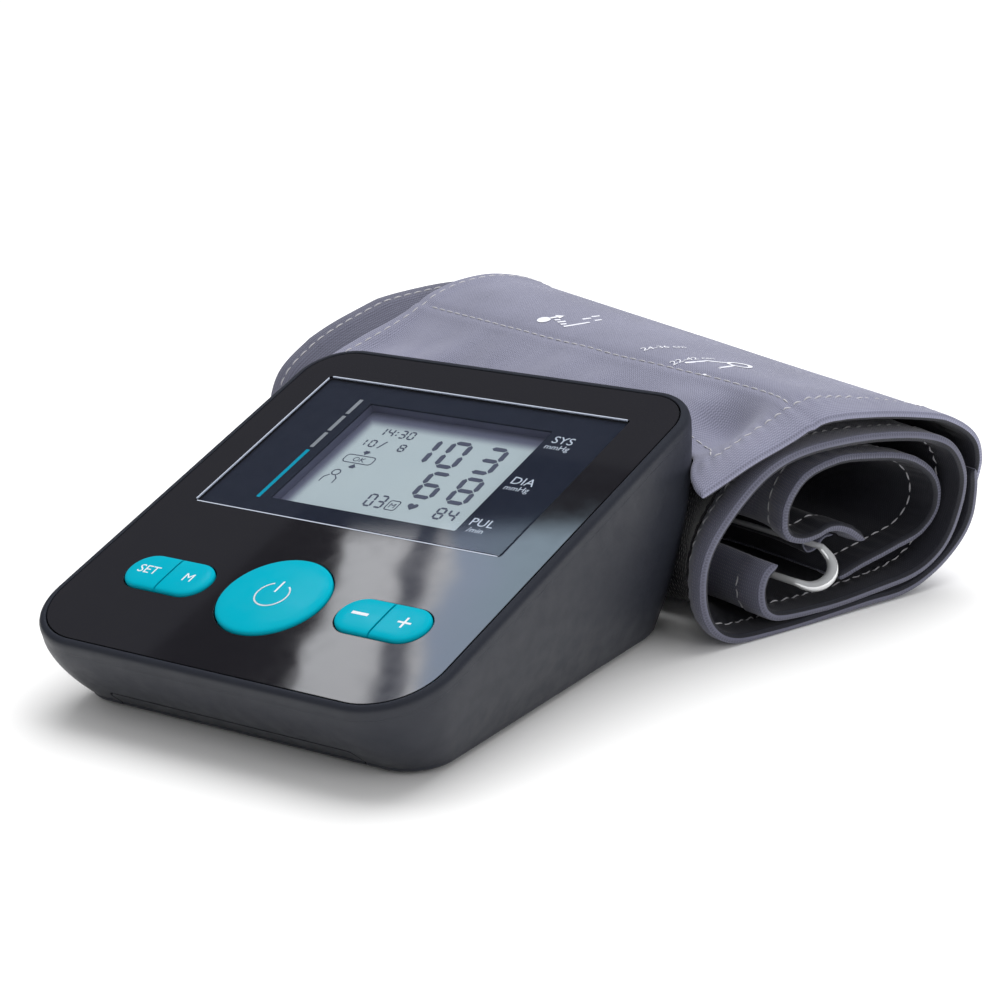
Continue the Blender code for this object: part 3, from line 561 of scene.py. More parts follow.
def case_rim():
    """The frame round the glossy panel, rounded over its outer edge."""
    rings = face_rings(face_outline, RIM_PROFILE)
    add_piece("case_rim", *skin(rings, close=True), CASE, body="monitor",
              stands_for=("upper_housing",), slot="case_plastic", smooth=50)
    deck = prism("case_deck", face_outline(SEAT_INSET + 0.02), -FRAME_DEPTH, DECK_TOP, on_face,
                 BLACK)
    view = prism("view_hole", view_outline(0.9), -5.0, 1.0, on_face)
    cut(deck, [view] + button_holes())
    settle_piece(deck, "monitor", (), "case_plastic", 35)


def view_outline(out):
    x0, x1, s0, s1 = VIEW
    return rounded_box(x0 - out, x1 + out, s0 - out, s1 + out, 0.3 + out, 4)


def button_holes():
    """Cutters for the round button and the two long pairs."""
    tools = [prism("round_hole", circle(*ROUND_BUTTON, ROUND_RADIUS + GAP, 96), -5.0, 1.0, on_face)]
    for side in (-1, 1):
        x0, x1 = (side * PILL_X + way * (PILL_LENGTH / 2 + GAP) for way in (-1, 1))
        y0, y1 = PILL_Y - PILL_HEIGHT / 2 - GAP, PILL_Y + PILL_HEIGHT / 2 + GAP
        outline = rounded_box(x0, x1, y0, y1, (y1 - y0) / 2 - 0.01, 20)
        tools.append(prism(f"pill_hole_{side}", outline, -5.0, 1.0, on_face))
    return tools


def glossy_panel():
    """The black front plate with its window and button openings."""
    panel = prism("glossy_panel", face_outline(SEAT_INSET + GAP), PANEL_BOTTOM, PANEL_TOP,
                  on_face, GLOSS)
    window = prism("window_hole", rounded_box(*WINDOW, 0.8), -2.0, 1.0, on_face)
    cut(panel, [window] + button_holes())
    settle_piece(panel, "monitor", ("front_panel",), "gloss_plastic", 15)


# ---------------------------------------------------------------- display

def flat_shapes(name, shapes, low, high, where, mat, body, slot=None):
    """Thin printed or inlaid shapes, each a closed plate."""
    plates = [skin([[where(x, y, z) for x, y in outline] for z in (low, high)])
              for outline in shapes]
    return add_piece(name, *join(plates), mat, body=body, slot=slot, smooth=30)


def frame_shape(outline, width):
    """The outline drawn as a line: short plates along it."""
    shapes = []
    for (x0, y0), (x1, y1) in zip(outline, outline[1:] + outline[:1]):
        length = math.hypot(x1 - x0, y1 - y0)
        if length < 1e-6:
            continue
        nx, ny = (y0 - y1) / length * width / 2, (x1 - x0) / length * width / 2
        ex, ey = (x1 - x0) / length * width / 3, (y1 - y0) / length * width / 3
        shapes.append([(x0 - ex + nx, y0 - ey + ny), (x0 - ex - nx, y0 - ey - ny),
                       (x1 + ex - nx, y1 + ey - ny), (x1 + ex + nx, y1 + ey + ny)])
    return shapes


SEGMENTS = {"0": "abcdef", "1": "bc", "2": "abged", "3": "abgcd", "4": "fgbc", "5": "afgcd",
            "6": "afgedc", "7": "abc", "8": "abcdefg", "9": "abcdfg"}
LEAN = -0.05                   # sideways shift of the digits per unit of height


def digit(symbol, x, y, width, height, stroke):
    """Seven-segment digit with its lower left corner at x, y."""
    w, h, t, gap = width - stroke, height - stroke, stroke, stroke * 0.16
    half = h / 2
    ends = {"a": ((0, h), (w, h)), "g": ((0, half), (w, half)), "d": ((0, 0), (w, 0)),
            "f": ((0, half), (0, h)), "b": ((w, half), (w, h)),
            "e": ((0, 0), (0, half)), "c": ((w, 0), (w, half))}
    shapes = []
    for key in SEGMENTS[symbol]:
        (x0, y0), (x1, y1) = ends[key]
        length = math.hypot(x1 - x0, y1 - y0)
        dx, dy = (x1 - x0) / length, (y1 - y0) / length
        tip, body = gap, gap + t / 2
        outline = []
        for along, off in ((tip, 0), (body, -t / 2), (length - body, -t / 2),
                           (length - tip, 0), (length - body, t / 2), (body, t / 2)):
            px = x0 + dx * along - dy * off + t / 2
            py = y0 + dy * along + dx * off + t / 2
            outline.append((x + px + py * LEAN, y + py))
        shapes.append(outline)
    return shapes


def digits(text, x, y, width, height, stroke, pitch):
    """Outlines for a line of digits, with colons, slashes and spaces."""
    shapes, half = [], stroke / 2
    for symbol in text:
        if symbol == ":":
            for level in (0.3, 0.65):
                cx = x + width * 0.15 + height * level * LEAN
                cy = y + height * level
                shapes.append(box_outline(cx - half, cx + half, cy - half, cy + half))
            x += pitch * 0.45
        elif symbol == "/":
            shapes.append([(x, y), (x + stroke, y), (x + width * 0.8, y + height),
                           (x + width * 0.8 - stroke, y + height)])
            x += pitch * 0.9
        else:
            if symbol != " ":
                shapes += digit(symbol, x, y, width, height, stroke)
            x += pitch
    return shapes


def heart(cx, cy, size):
    outline = []
    for k in range(28):
        t = 2 * math.pi * k / 28
        outline.append((cx + size * math.sin(t) ** 3,
                        cy + size / 16 * (13 * math.cos(t) - 5 * math.cos(2 * t)
                                          - 2 * math.cos(3 * t) - math.cos(4 * t))))
    return outline


def person(cx, cy, size):
    """A user symbol: head over open shoulders."""
    head = frame_shape(circle(cx + 0.3 * size, cy + 2.0 * size, 1.35 * size, 18), 0.26)
    sides = []
    for way in (-1, 1):
        line = [(cx + way * 2.4 * size, cy - 3.0 * size), (cx + way * 2.3 * size, cy - 0.8 * size),
                (cx + way * 1.1 * size, cy + 0.5 * size)]
        sides += frame_shape(line, 0.26)[:-1]
    return head + sides


# text, left and lower edge, digit width and height, stroke, pitch
READOUT = (("1", -6.5, 78.2, 5.7, 9.9, 1.3, 7.8), ("03", 1.5, 78.2, 5.7, 9.9, 1.3, 9.4),
           ("68", 3.3, 67.2, 5.7, 9.7, 1.25, 8.8), ("84", 12.9, 61.6, 2.4, 4.1, 0.55, 3.1),
           ("14:30", -18.9, 85.8, 1.8, 3.0, 0.42, 2.3), ("10/", -21.0, 81.3, 1.8, 2.7, 0.4, 2.7),
           ("8", -10.3, 81.3, 1.8, 2.7, 0.4, 2.7), ("03", -5.4, 61.8, 2.2, 4.5, 0.5, 2.8))
ICON_LINE = 0.24               # line width of the small display frames
WINDOW_LABELS = (("sys", "SYS", "mmHg", 27.9, 89.8), ("dia", "DIA", "mmHg", 27.8, 74.4),
                 ("pul", "PUL", "/min", 27.7, 59.3))
LABEL_SIZE, UNIT_SIZE, UNIT_DROP = 3.5, 2.3, 2.2
SCALE_X, SCALE_HALF = -28.4, 0.5
SCALE_STEPS = ((56.0, 74.3), (75.4, 81.1), (81.9, 87.8), (88.7, 94.4))
# width and corner clearance of the painted highlight strips along the window
EDGE_WIDTH, EDGE_CORNER = 0.26, 0.8
PRINT_THICK = 0.02


def display_ink():
    """All the dark shapes of the display: numbers, frames, heart, arrows and user."""
    ink = [shape for row in READOUT for shape in digits(*row)]
    ink += frame_shape(rounded_box(0.4, 3.1, 61.9, 65.1, 0.5, 2), ICON_LINE)
    ink.append(heart(6.4, 64.3, 1.3))
    ink += frame_shape(rounded_box(-20.6, -12.8, 75.1, 77.9, 0.9, 3), ICON_LINE)
    for way in (-1, 1):
        tip = 76.5 + way * 1.8
        ink.append([(-17.6, tip + way * 1.1), (-15.6, tip + way * 1.1), (-16.6, tip)])
        ink.append(box_outline(-17.2, -16.0, tip + way * 1.5, tip + way * 1.0))
    return ink + person(-19.2, 69.6, 0.74)


def display():
    lens = rounded_box(WINDOW[0] + GAP, WINDOW[1] - GAP, WINDOW[2] + GAP, WINDOW[3] - GAP, 0.6)
    cover = prism("window_lens", lens, PANEL_TOP - 0.75, PANEL_TOP, on_face, CLEAR)
    soften(cover, 0.2, 2, 60)
    settle_piece(cover, "monitor", ("display_window",), "window_plastic", 15)
    mask = prism("window_mask", lens, PANEL_BOTTOM - 0.1, PANEL_TOP - 0.8, on_face, MASK)
    cut(mask, [prism("mask_hole", view_outline(0.0), -5.0, 1.0, on_face)])
    settle_piece(mask, "monitor", (), "window_plastic", 35)
    floor_level, top_level = LCD_TOP + 0.02, PANEL_BOTTOM - 0.12
    well = face_rings(view_outline, ((0.8, floor_level), (0.8, top_level), (0.0, top_level),
                                     (0.0, floor_level)))
    add_piece("display_well", *skin(well, close=True), WELL, body="monitor", smooth=50)
    glass = view_outline(1.4)
    prism("lcd_panel", glass, LCD_BOTTOM, LCD_TOP, on_face, LCD_FACE, body="monitor",
          stands_for=("lcd_glass",), slot="lcd_glass", uv=glass * 2)
    x0, x1, s0, s1 = WINDOW
    wide, near = EDGE_WIDTH, EDGE_CORNER
    # painted highlight: pale strips along the window's far, left and near edges
    strips = [box_outline(x0 + near, x1 - near, s1 - wide, s1),
              box_outline(x0, x0 + wide, s0 + near, s1 - near),
              box_outline(x0 + near, x1 - near, s0, s0 + wide)]
    flat_shapes("window_edge_highlight", strips, PANEL_TOP - 0.3, PANEL_TOP + 0.01, on_face, WINDOW_HIGHLIGHT, "monitor")
    low, high = LCD_TOP + 0.01, LCD_TOP + 0.04
    flat_shapes("lcd_symbols", display_ink(), low, high, on_face, LCD_INK, "monitor", "lcd_glass")
    lettering("lcd_ok", "OK", 2.2, (-16.7, 75.7), low, on_face, LCD_INK, "monitor")
    lettering("lcd_memory", "M", 2.2, (1.75, 62.7), low, on_face, LCD_INK, "monitor")
    top = PANEL_TOP - 0.79
    scale = [box_outline(SCALE_X - SCALE_HALF, SCALE_X + SCALE_HALF, s0, s1)
             for s0, s1 in SCALE_STEPS]
    for name, shapes, mat in (("scale_bar_low", scale[:1], TEAL),
                              ("scale_bars", scale[1:], PRINT_GREY)):
        flat_shapes(name, shapes, top, top + PRINT_THICK, on_face, mat, "monitor")
    for key, word, unit, x, s in WINDOW_LABELS:
        lettering(f"label_{key}", word, LABEL_SIZE, (x, s), top, on_face, PRINT_WHITE, "monitor")
        lettering(f"unit_{key}", unit, UNIT_SIZE, (x, s - UNIT_DROP), top, on_face, PRINT_WHITE,
                  "monitor")


def lettering(name, text, size, centre, height, where, mat, body, thick=PRINT_THICK):
    """Raised printing. Text is centred on a place of the surface, height above it."""
    data = bpy.data.curves.new(name, "FONT")
    data.body, data.size, data.align_x = text, size, "CENTER"
    data.resolution_u = 3
    source = show(name + "_text", data)
    depsgraph = bpy.context.evaluated_depsgraph_get()
    flat = bpy.data.meshes.new_from_object(source.evaluated_get(depsgraph))
    bpy.data.objects.remove(source)
    bm = bmesh.new()
    bm.from_mesh(flat)
    bmesh.ops.remove_doubles(bm, verts=bm.verts, dist=1e-5)
    raised = bmesh.ops.extrude_face_region(bm, geom=bm.faces[:])
    tops = {v for v in raised["geom"] if isinstance(v, bmesh.types.BMVert)}
    for v in bm.verts:
        up = height + (thick if v in tops else 0.0)
        v.co = where(centre[0] + v.co.x, centre[1] + v.co.y, up)
    bmesh.ops.recalc_face_normals(bm, faces=bm.faces)
    mesh = bpy.data.meshes.new(name)
    bm.to_mesh(mesh)
    bm.free()
    mesh.materials.append(mat)
    return settle_piece(show(name, mesh), body)


# ---------------------------------------------------------------- buttons

def half_pill(side, end, outset, steps=24):
    """Half of a long button, drawn in or out on all sides."""
    radius = PILL_HEIGHT / 2
    centre = side * PILL_X + end * (PILL_LENGTH / 2 - radius)
    split = side * PILL_X + end * (GAP / 2 - max(min(outset, 0.0), -0.12) - 0.05)
    start = -90 if end > 0 else 90
    turn = arc(centre, PILL_Y, radius + outset, start, start + 180, steps)
    flat = [(split + (turn[0][0] - split) * k / 6, turn[0][1]) for k in range(6)]
    back = [(split + (turn[-1][0] - split) * k / 6, turn[-1][1]) for k in range(5, -1, -1)]
    return flat + turn + back


BUTTON_LEVELS = ((FLANGE, BUTTON_BOTTOM), (FLANGE, FLANGE_TOP), (0.0, FLANGE_TOP), (0.0, -0.1),
                 (-0.04, 0.12), (-0.15, 0.3), (-0.33, 0.44), (-0.56, 0.53), (-0.85, 0.59))


def buttons():
    crown = ((-2.5, 0.70), (-4.5, 0.78), (-7.0, 0.84), (-9.5, 0.88), (-11.5, 0.89))
    rings = face_rings(lambda outset: circle(*ROUND_BUTTON, ROUND_RADIUS + outset, 96),
                       BUTTON_LEVELS + crown)
    add_piece("start_stop_cap", *skin(rings), TEAL, body="start_stop_button",
              stands_for=("start_stop_button",), slot="teal_plastic", smooth=40)
    for name, side, end in (("set", -1, -1), ("memory", -1, 1), ("minus", 1, -1), ("plus", 1, 1)):
        crown = ((-1.6, 0.65), (-2.6, 0.69))
        rings = face_rings(lambda outset: half_pill(side, end, outset), BUTTON_LEVELS + crown)
        add_piece(f"{name}_cap", *skin(rings), TEAL, body=f"{name}_button",
                  stands_for=(f"{name}_button",), slot="teal_plastic", smooth=40)
    button_marks()


ROUND_CROWN, PILL_CROWN = 0.895, 0.695   # where printing lies on the buttons
MARK_SIZE = 3.5


def button_marks():
    cx, cy = ROUND_BUTTON
    ring = frame_shape(arc(cx, cy - 0.2, 3.7, 120, 420, 40)[:-1], 0.36)[:-1]
    stroke = [box_outline(cx - 0.21, cx + 0.21, cy + 0.6, cy + 4.1)]

    def printed(name, shapes, level, body):
        flat_shapes(name, shapes, level, level + PRINT_THICK, on_face, PRINT_WHITE, body)
    printed("power_mark", ring + stroke, ROUND_CROWN, "start_stop_button")
    left, right = -PILL_X - PILL_LENGTH / 4, -PILL_X + PILL_LENGTH / 4
    for key, word, x in (("set", "SET", left), ("memory", "M", right)):
        lettering(f"{key}_mark", word, MARK_SIZE, (x, PILL_Y - 1.2), PILL_CROWN, on_face,
                  PRINT_WHITE, f"{key}_button")
    left, right = PILL_X - PILL_LENGTH / 4, PILL_X + PILL_LENGTH / 4
    minus = box_outline(left - 2.0, left + 2.0, PILL_Y - 0.4, PILL_Y + 0.4)
    printed("minus_mark", [minus], PILL_CROWN, "minus_button")
    arms = [box_outline(right - 1.6, right + 1.6, PILL_Y - 0.25, PILL_Y + 0.25)]
    for y0, y1 in ((-1.6, -0.26), (0.26, 1.6)):
        arms.append(box_outline(right - 0.25, right + 0.25, PILL_Y + y0, PILL_Y + y1))
    printed("plus_mark", arms, PILL_CROWN, "plus_button")


# ---------------------------------------------------------------- plug and hose

def smooth_path(points, per_span=6):
    """A Catmull-Rom curve through the points."""
    pts = [Vector(p) for p in points]
    pts = [pts[0] * 2 - pts[1]] + pts + [pts[-1] * 2 - pts[-2]]
    path = []
    for i in range(1, len(pts) - 2):
        p0, p1, p2, p3 = pts[i - 1:i + 3]
        for k in range(per_span):
            t = k / per_span
            path.append(0.5 * ((2 * p1) + (p2 - p0) * t + (2 * p0 - 5 * p1 + 4 * p2 - p3) * t * t
                               + (3 * p1 - p0 - 3 * p2 + p3) * t ** 3))
    return path + [pts[-2]]


def ring_at(point, side, other, radius, steps):
    turns = [2 * math.pi * k / steps for k in range(steps)]
    return [point + (side * math.cos(t) + other * math.sin(t)) * radius for t in turns]


def tube_rings(path, radii, steps):
    rings = []
    side = None
    for i, point in enumerate(path):
        ahead = (path[min(i + 1, len(path) - 1)] - path[max(i - 1, 0)]).normalized()
        side = ahead.orthogonal() if side is None else side - ahead * side.dot(ahead)
        side.normalize()
        rings.append(ring_at(point, side, ahead.cross(side), radii[i], steps))
    return rings


def turned(name, profile, start, axis, mat, close=False, steps=40, **extra):
    """Turned piece; profile is (millimetres along the axis, radius) pairs."""
    side = axis.orthogonal().normalized()
    rings = [ring_at(start + axis * along * MM, side, axis.cross(side), radius * MM, steps)
             for along, radius in profile]
    return add_piece(name, *skin(rings, close), mat, **extra)


def plug_and_hose():
    """Elbow plug with a ribbed grip, a ribbed sleeve, and the hose to the cuff in two lengths."""
    middle = on_case(PLUG_X, SOCKET_Y, SOCKET_Z)
    body = [(15.5, 1.7), (15.0, 2.3), (5.2, 2.3), (5.2, 5.0), (4.9, 5.4), (4.5, 5.6)]
    for k in range(5):
        x = 3.9 - 1.5 * k
        body += [(x, 5.6), (x - 0.25, 5.25), (x - 0.75, 5.25), (x - 1.0, 5.6)]
    body += [(-3.6, 5.6), (-4.4, 5.3), (-4.8, 4.8), (-5.0, 4.0)]
    plug = turned("elbow_plug", body[::-1], middle, Vector((1, 0, 0)), PLUG)
    outlet = turned("outlet", ((0.0, 3.9), (8.2, 3.7), (8.8, 3.5), (9.0, 3.2)), middle,
                    Vector((0, 1, 0)), PLUG)
    cut(plug, [outlet], "UNION")
    settle_piece(plug, "hose_plug", ("hose_plug",), "plug_plastic", 35)
    sleeve = [(9.3, 3.0), (9.3, 3.9), (9.6, 4.1)]
    for k in range(4):
        y = 10.2 + 1.25 * k
        radius = 4.0 - 0.12 * k
        sleeve += [(y, radius), (y + 0.15, radius - 0.55), (y + 0.45, radius - 0.55),
                   (y + 0.6, radius - 0.03)]
    sleeve += [(14.9, 3.5), (15.0, 3.3), (15.0, 3.0)]
    turned("strain_sleeve", sleeve, middle, Vector((0, 1, 0)), RUBBER, close=True,
           body="hose_plug", stands_for=("strain_relief",), slot="rubber", smooth=35)
    a, b, z = PORT
    mid = on_case(PLUG_X - 1.0, SOCKET_Y + 19.0, SOCKET_Z - 1.0)
    first = (on_case(PLUG_X, SOCKET_Y + 9.3, SOCKET_Z), on_case(PLUG_X, SOCKET_Y + 15, SOCKET_Z),
             mid)
    second = (mid, on_case(PLUG_X - 4, SOCKET_Y + 27, SOCKET_Z - 3), on_cuff(a, b - 5.0, z),
              on_cuff(a, b - 1.2, z))
    whole = smooth_path(first + second[1:], 10)
    split = 20
    for name, path, parents in (("hose_near_plug", whole[:split + 1], ("hose_plug", "monitor")),
                                ("hose_to_cuff", whole[split:], ("monitor", "cuff"))):
        outside = tube_rings(path, [HOSE_RADIUS * MM] * len(path), 20)
        inside = tube_rings(path, [HOSE_BORE * MM] * len(path), 20)[::-1]
        hose = add_piece(name, *skin(outside + inside, close=True), HOSE, slot="hose_rubber",
                         stands_for=("air_hose",) if parents[1] == "cuff" else (), smooth=45)
        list(parents)
        tuple(path[0])
        tuple(path[-1])
        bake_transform(hose)


# ---------------------------------------------------------------- cuff sheets

DENT_AT = (-150.0, -60.0, -30.0, -20.0, -12.0, -6.0, 0.0)
DENT = (0.0, 4.0, 12.0, 13.0, 8.5, 1.0, 0.0)   # the monitor's rear corner presses the roll


def dent_at(a):
    """How far the front of the roll is pressed back at a station, smoothed."""
    spread = np.array([-3.0, 0.0, 3.0])
    return np.mean([np.interp(np.asarray(a) + s, DENT_AT, DENT) for s in spread], axis=0)


class Sheet:
    """A padded cloth band. Its right and left sections are curves across the roll, (b, z) in
    millimetres, and the stations between them are blends of the two."""
    inner = None               # arc length past which the dent hardly reaches the cloth

    def __init__(self, right, left, ends, half, waves=None, hem=None, droop=None, outward=1.0):
        """outward is -1 where the path runs so that its left side is the inner face."""
        self.right, self.left = (self.curve(points) for points in (right, left))
        self.ends, self.half, self.outward = ends, half, outward
        self.waves, self.hem, self.droop = waves, hem, droop
        seg = np.diff(self.right, axis=0)
        self.s = np.concatenate([[0.0], np.cumsum(np.hypot(seg[:, 0], seg[:, 1]))])
        self.length = float(self.s[-1])

    @staticmethod
    def curve(points):
        return np.array([(p.x, p.y) for p in smooth_path([(b, z, 0.0) for b, z in points], 24)])

    def points(self, s, a, k, lift=0.0):
        """Row-frame points at arc length s, station a. k is 1 on the outer face, 0 in the middle
        and -1 on the inner face."""
        s, a, k = np.broadcast_arrays(*(np.asarray(v, float) for v in (s, a, k)))
        t = np.clip(-a / CUFF_LENGTH, 0.0, 1.0)

        def mid(dist):
            r = [np.interp(dist, self.s, self.right[:, i]) for i in (0, 1)]
            l = [np.interp(dist, self.s, self.left[:, i]) for i in (0, 1)]
            return r[0] + (l[0] - r[0]) * t, r[1] + (l[1] - r[1]) * t
        b, z = mid(s)
        b0, z0 = mid(np.maximum(s - 1.2, 0.0))
        b1, z1 = mid(np.minimum(s + 1.2, self.length))
        length = np.hypot(b1 - b0, z1 - z0) + 1e-9
        nb, nz = -(z1 - z0) / length * self.outward, (b1 - b0) / length * self.outward
        off = self.thickness(s, a) * k + lift
        if self.waves is not None:
            off = off + self.waves(s, a)
        b, z = b + nb * off, z + nz * off
        if self.droop is not None:
            z = z + self.droop(s, a)
        give = np.clip(1.0 - (b + 10.0) / 40.0, 0.0, None)
        if self.inner is not None:
            give = give * (1.0 - 0.8 * np.clip((s - self.inner) / 12.0, 0.0, 1.0))
        b = b + dent_at(a) * give
        z = np.maximum(z, 0.15)
        base = np.array(CUFF_HOME)
        return (base + np.array(ALONG) * a[..., None] * MM + np.array(ACROSS) * b[..., None] * MM
                + np.array((0.0, 0.0, 1.0)) * z[..., None] * MM)

    def thickness(self, s, a):
        half = np.full(np.broadcast(s, a).shape, self.half)
        if self.hem is not None:
            half = half + self.hem(s, a)
        near = np.minimum(s, self.length - s)
        round_end = np.clip(near / (2.0 * self.half), 0.0, 1.0)
        return half * np.clip(np.sqrt(1.0 - (1.0 - round_end) ** 2), 0.12, 1.0)

    def mesh(self, name, mats, body=None, spacing=(0.9, 1.1), **extra):
        """The band as a closed slab with rolled edges. mats are its outer and inner cloth."""
        left, right = self.ends
        r = self.half
        turns = np.radians(np.arange(15, 90, 15))
        count = max(int((right - left - 2 * r) / spacing[1]), 8)
        top_a = np.concatenate([[left], left + r * (1 - np.cos(turns)),
                                np.linspace(left + r, right - r, count),
                                right - r * (1 - np.cos(turns[::-1])), [right]])
        top_k = np.concatenate([[0.0], np.sin(turns), np.ones(count), np.sin(turns[::-1]), [0.0]])
        loop_a = np.concatenate([top_a, top_a[-2:0:-1]])
        loop_k = np.concatenate([top_k, -top_k[-2:0:-1]])
        rows = max(int(self.length / spacing[0]), 8)
        ends = self.half * np.array([0.0, 0.15, 0.5, 1.1])
        s = np.concatenate([ends, np.linspace(2 * r, self.length - 2 * r, rows),
                            self.length - ends[::-1]])
        verts = self.points(s[:, None], loop_a[None, :], loop_k[None, :]).reshape(-1, 3)
        uv = np.stack(np.broadcast_arrays(s[:, None], loop_a[None, :]), -1).reshape(-1, 2)
        n, m = len(loop_a), len(top_a) - 2
        faces, slots = [], []
        for i in range(len(s) - 1):
            for j in range(n):
                k = (j + 1) % n
                faces.append((i * n + j, i * n + k, (i + 1) * n + k, (i + 1) * n + j))
                slots.append(0 if loop_k[j] + loop_k[k] > -0.6 else 1)
        for base in (0, (len(s) - 1) * n):
            faces.append((base, base + 1, base + n - 1))
            faces += [(base + j, base + j + 1, base + n - 1 - j, base + n - j) for j in range(1, m)]
            faces.append((base + m, base + m + 1, base + m + 2))
            slots += [0] * (m + 1)
        return add_piece(name, verts, faces, mats, body=body, slots=slots, uv=uv, smooth=60,
                         **extra)


class Patch(Sheet):
    """A flat strip sewn on a sheet, lift millimetres off its middle."""

    def __init__(self, under, span, ends, half, lift):
        self.under, self.start, self.lift = under, span[0], lift
        self.length, self.ends, self.half = span[1] - span[0], ends, half

    def points(self, s, a, k, lift=0.0):
        s = np.asarray(s, float)
        near = np.clip(np.minimum(s, self.length - s) / (2 * self.half), 0.0, 1.0)
        thick = self.half * np.clip(np.sqrt(1 - (1 - near) ** 2), 0.12, 1.0)
        return self.under.points(s + self.start, a, 0.0, self.lift + thick * k + lift)


def sew(name, sheet, line, side=1.0, body=None, length=2.2, pitch=2.9, wire=0.2, lift=0.1):
    """Stitches along a line of (arc length, station) points on a sheet's outer or inner face."""
    line = np.asarray(line, float)
    fine = np.stack([np.interp(np.linspace(0, len(line) - 1, 400), range(len(line)), line[:, i])
                     for i in (0, 1)], 1)
    way = sheet.points(fine[:, 0], fine[:, 1], side)
    dist = np.concatenate([[0.0], np.cumsum(np.linalg.norm(np.diff(way, axis=0), axis=1))]) / MM
    stitches = []
    sides, cross = 6, 5
    for k in range(int(dist[-1] / pitch)):
        at = pitch * k + 0.4 + length * np.linspace(0, 1, cross)
        s, a = (np.interp(at, dist, fine[:, i]) for i in (0, 1))
        hump = lift * np.sin(np.pi * np.linspace(0, 1, cross)) * side
        middle = [Vector(p) for p in sheet.points(s, a, side, hump)]
        radii = [wire * MM * f for f in (0.45, 0.9, 1.0, 0.9, 0.45)]
        stitches.append(skin(tube_rings(middle, radii, sides)))
    return add_piece(name, *join(stitches), THREAD, body=body, smooth=80)


def ripple(s, a, wide_s, wide_a, seed):
    """Smooth noise between -1 and 1 over a sheet."""
    s, a = np.broadcast_arrays(np.asarray(s, float), np.asarray(a, float))
    out = np.empty(s.shape)
    flat_s, flat_a, flat = s.ravel(), a.ravel(), out.ravel()
    for i in range(flat.size):
        flat[i] = noise.noise(Vector((flat_s[i] / wide_s, flat_a[i] / wide_a, seed)))
    return flat.reshape(s.shape)


def bell(value, centre, width):
    return np.exp(-((value - centre) / width) ** 2)


WRAP_RIGHT = ((64.5, 25.0), (64.6, 20.5), (63.2, 14.5), (59.5, 9.5), (53.0, 4.6), (45.0, 1.6),
              (34.0, 1.1), (20.0, 1.1), (8.0, 1.1), (-1.5, 1.8), (-6.8, 5.7), (-8.6, 12.5),
              (-6.6, 21.5), (0.6, 30.2), (10.5, 36.3), (22.0, 38.6), (37.5, 37.6), (50.0, 35.6),
              (57.5, 32.2), (61.0, 26.5), (61.2, 20.5), (58.0, 12.5), (53.0, 7.6), (45.0, 4.6),
              (32.0, 3.4), (14.0, 3.4), (8.0, 5.2), (6.4, 9.6), (7.6, 13.6), (10.4, 15.6))
WRAP_LEFT = ((44.4, 31.0), (44.6, 25.0), (43.2, 17.0), (39.5, 10.0), (32.5, 4.8), (24.0, 1.6),
             (13.0, 1.1), (-1.0, 1.1), (-13.0, 1.1), (-23.0, 2.0), (-28.5, 6.8), (-31.2, 14.0),
             (-31.0, 22.5), (-27.5, 30.0), (-19.0, 34.6), (-8.4, 38.6), (7.0, 42.6), (24.0, 44.4),
             (35.5, 41.0), (40.0, 34.0), (41.0, 26.0), (37.6, 14.5), (32.0, 8.2), (24.0, 5.0),
             (11.0, 3.6), (-7.0, 3.6), (-13.0, 5.4), (-14.8, 10.2), (-13.2, 15.0), (-10.2, 17.0))
COIL_RIGHT = ((37.0, 14.2), (32.6, 17.6), (28.3, 19.0), (24.0, 18.2), (20.0, 18.2), (16.8, 19.6),
              (15.8, 22.5), (17.0, 27.2), (21.8, 31.8), (30.0, 33.6), (38.0, 32.6), (50.0, 29.3),
              (56.6, 23.8), (57.2, 17.2), (52.6, 12.4), (45.0, 10.6), (37.0, 9.0), (31.6, 7.4),
              (29.8, 7.2))
COIL_LEFT = tuple((b - 20.5, z * 1.14) for b, z in COIL_RIGHT)
FLAP_RIGHT = ((64.9, 21.0), (66.6, 27.0), (64.6, 32.6), (57.5, 37.6), (46.0, 42.2), (36.0, 45.2),
              (27.5, 47.0), (21.3, 46.6), (17.0, 45.2), (11.0, 43.4), (4.0, 41.2), (-2.5, 39.2),
              (-8.0, 37.6))
FLAP_LEFT = ((46.4, 27.0), (46.6, 34.0), (44.2, 41.4), (36.5, 47.6), (26.0, 50.8), (16.5, 50.7),
             (9.6, 49.0), (4.2, 46.8), (0.4, 44.6), (-6.5, 41.6), (-13.5, 39.4), (-20.0, 37.4),
             (-25.5, 35.2))
FLAP_ENDS = (-138.0, -0.5)
HEM = 7.6                      # stitching to edge


def edge_hem(right, left, band):
    """Extra half thickness of folded hems: full to the stitching, pinched at it."""
    def extra(s, a):
        from_right, from_left = right - a, a - left
        more = 0.22 / (1 + np.exp((from_right - HEM) * 2.5)) - 0.26 * bell(from_right, HEM, 0.7)
        more = more + 0.5 / (1 + np.exp((from_left - band) * 6.0))
        return more - 0.2 * bell(from_left, band * 0.62, 0.5)
    return extra


def wrap_waves(s, a):
    pucker = 0.20 * np.sin(s * 2.1 + 1.5 * np.sin(s * 0.35)) * bell(a, -HEM, 2.6)
    return 0.55 * ripple(s, a, 18.0, 30.0, 1.7) + pucker


def wrap_flare(s, a):
    """The left end of the outer wrap stands up past the flap's edge."""
    near = np.clip((-a - 134.0) / 15.0, 0.0, 1.0)
    rise = near * near * (3 - 2 * near)
    low, top, back = (arc_at(WRAP_RIGHT, i) for i in (11, 14, 19))
    share = np.clip((s - low) / (top - low), 0.0, 1.0) * np.clip((back - s) / 34.0, 0.0, 1.0)
    return 5.0 * rise * share


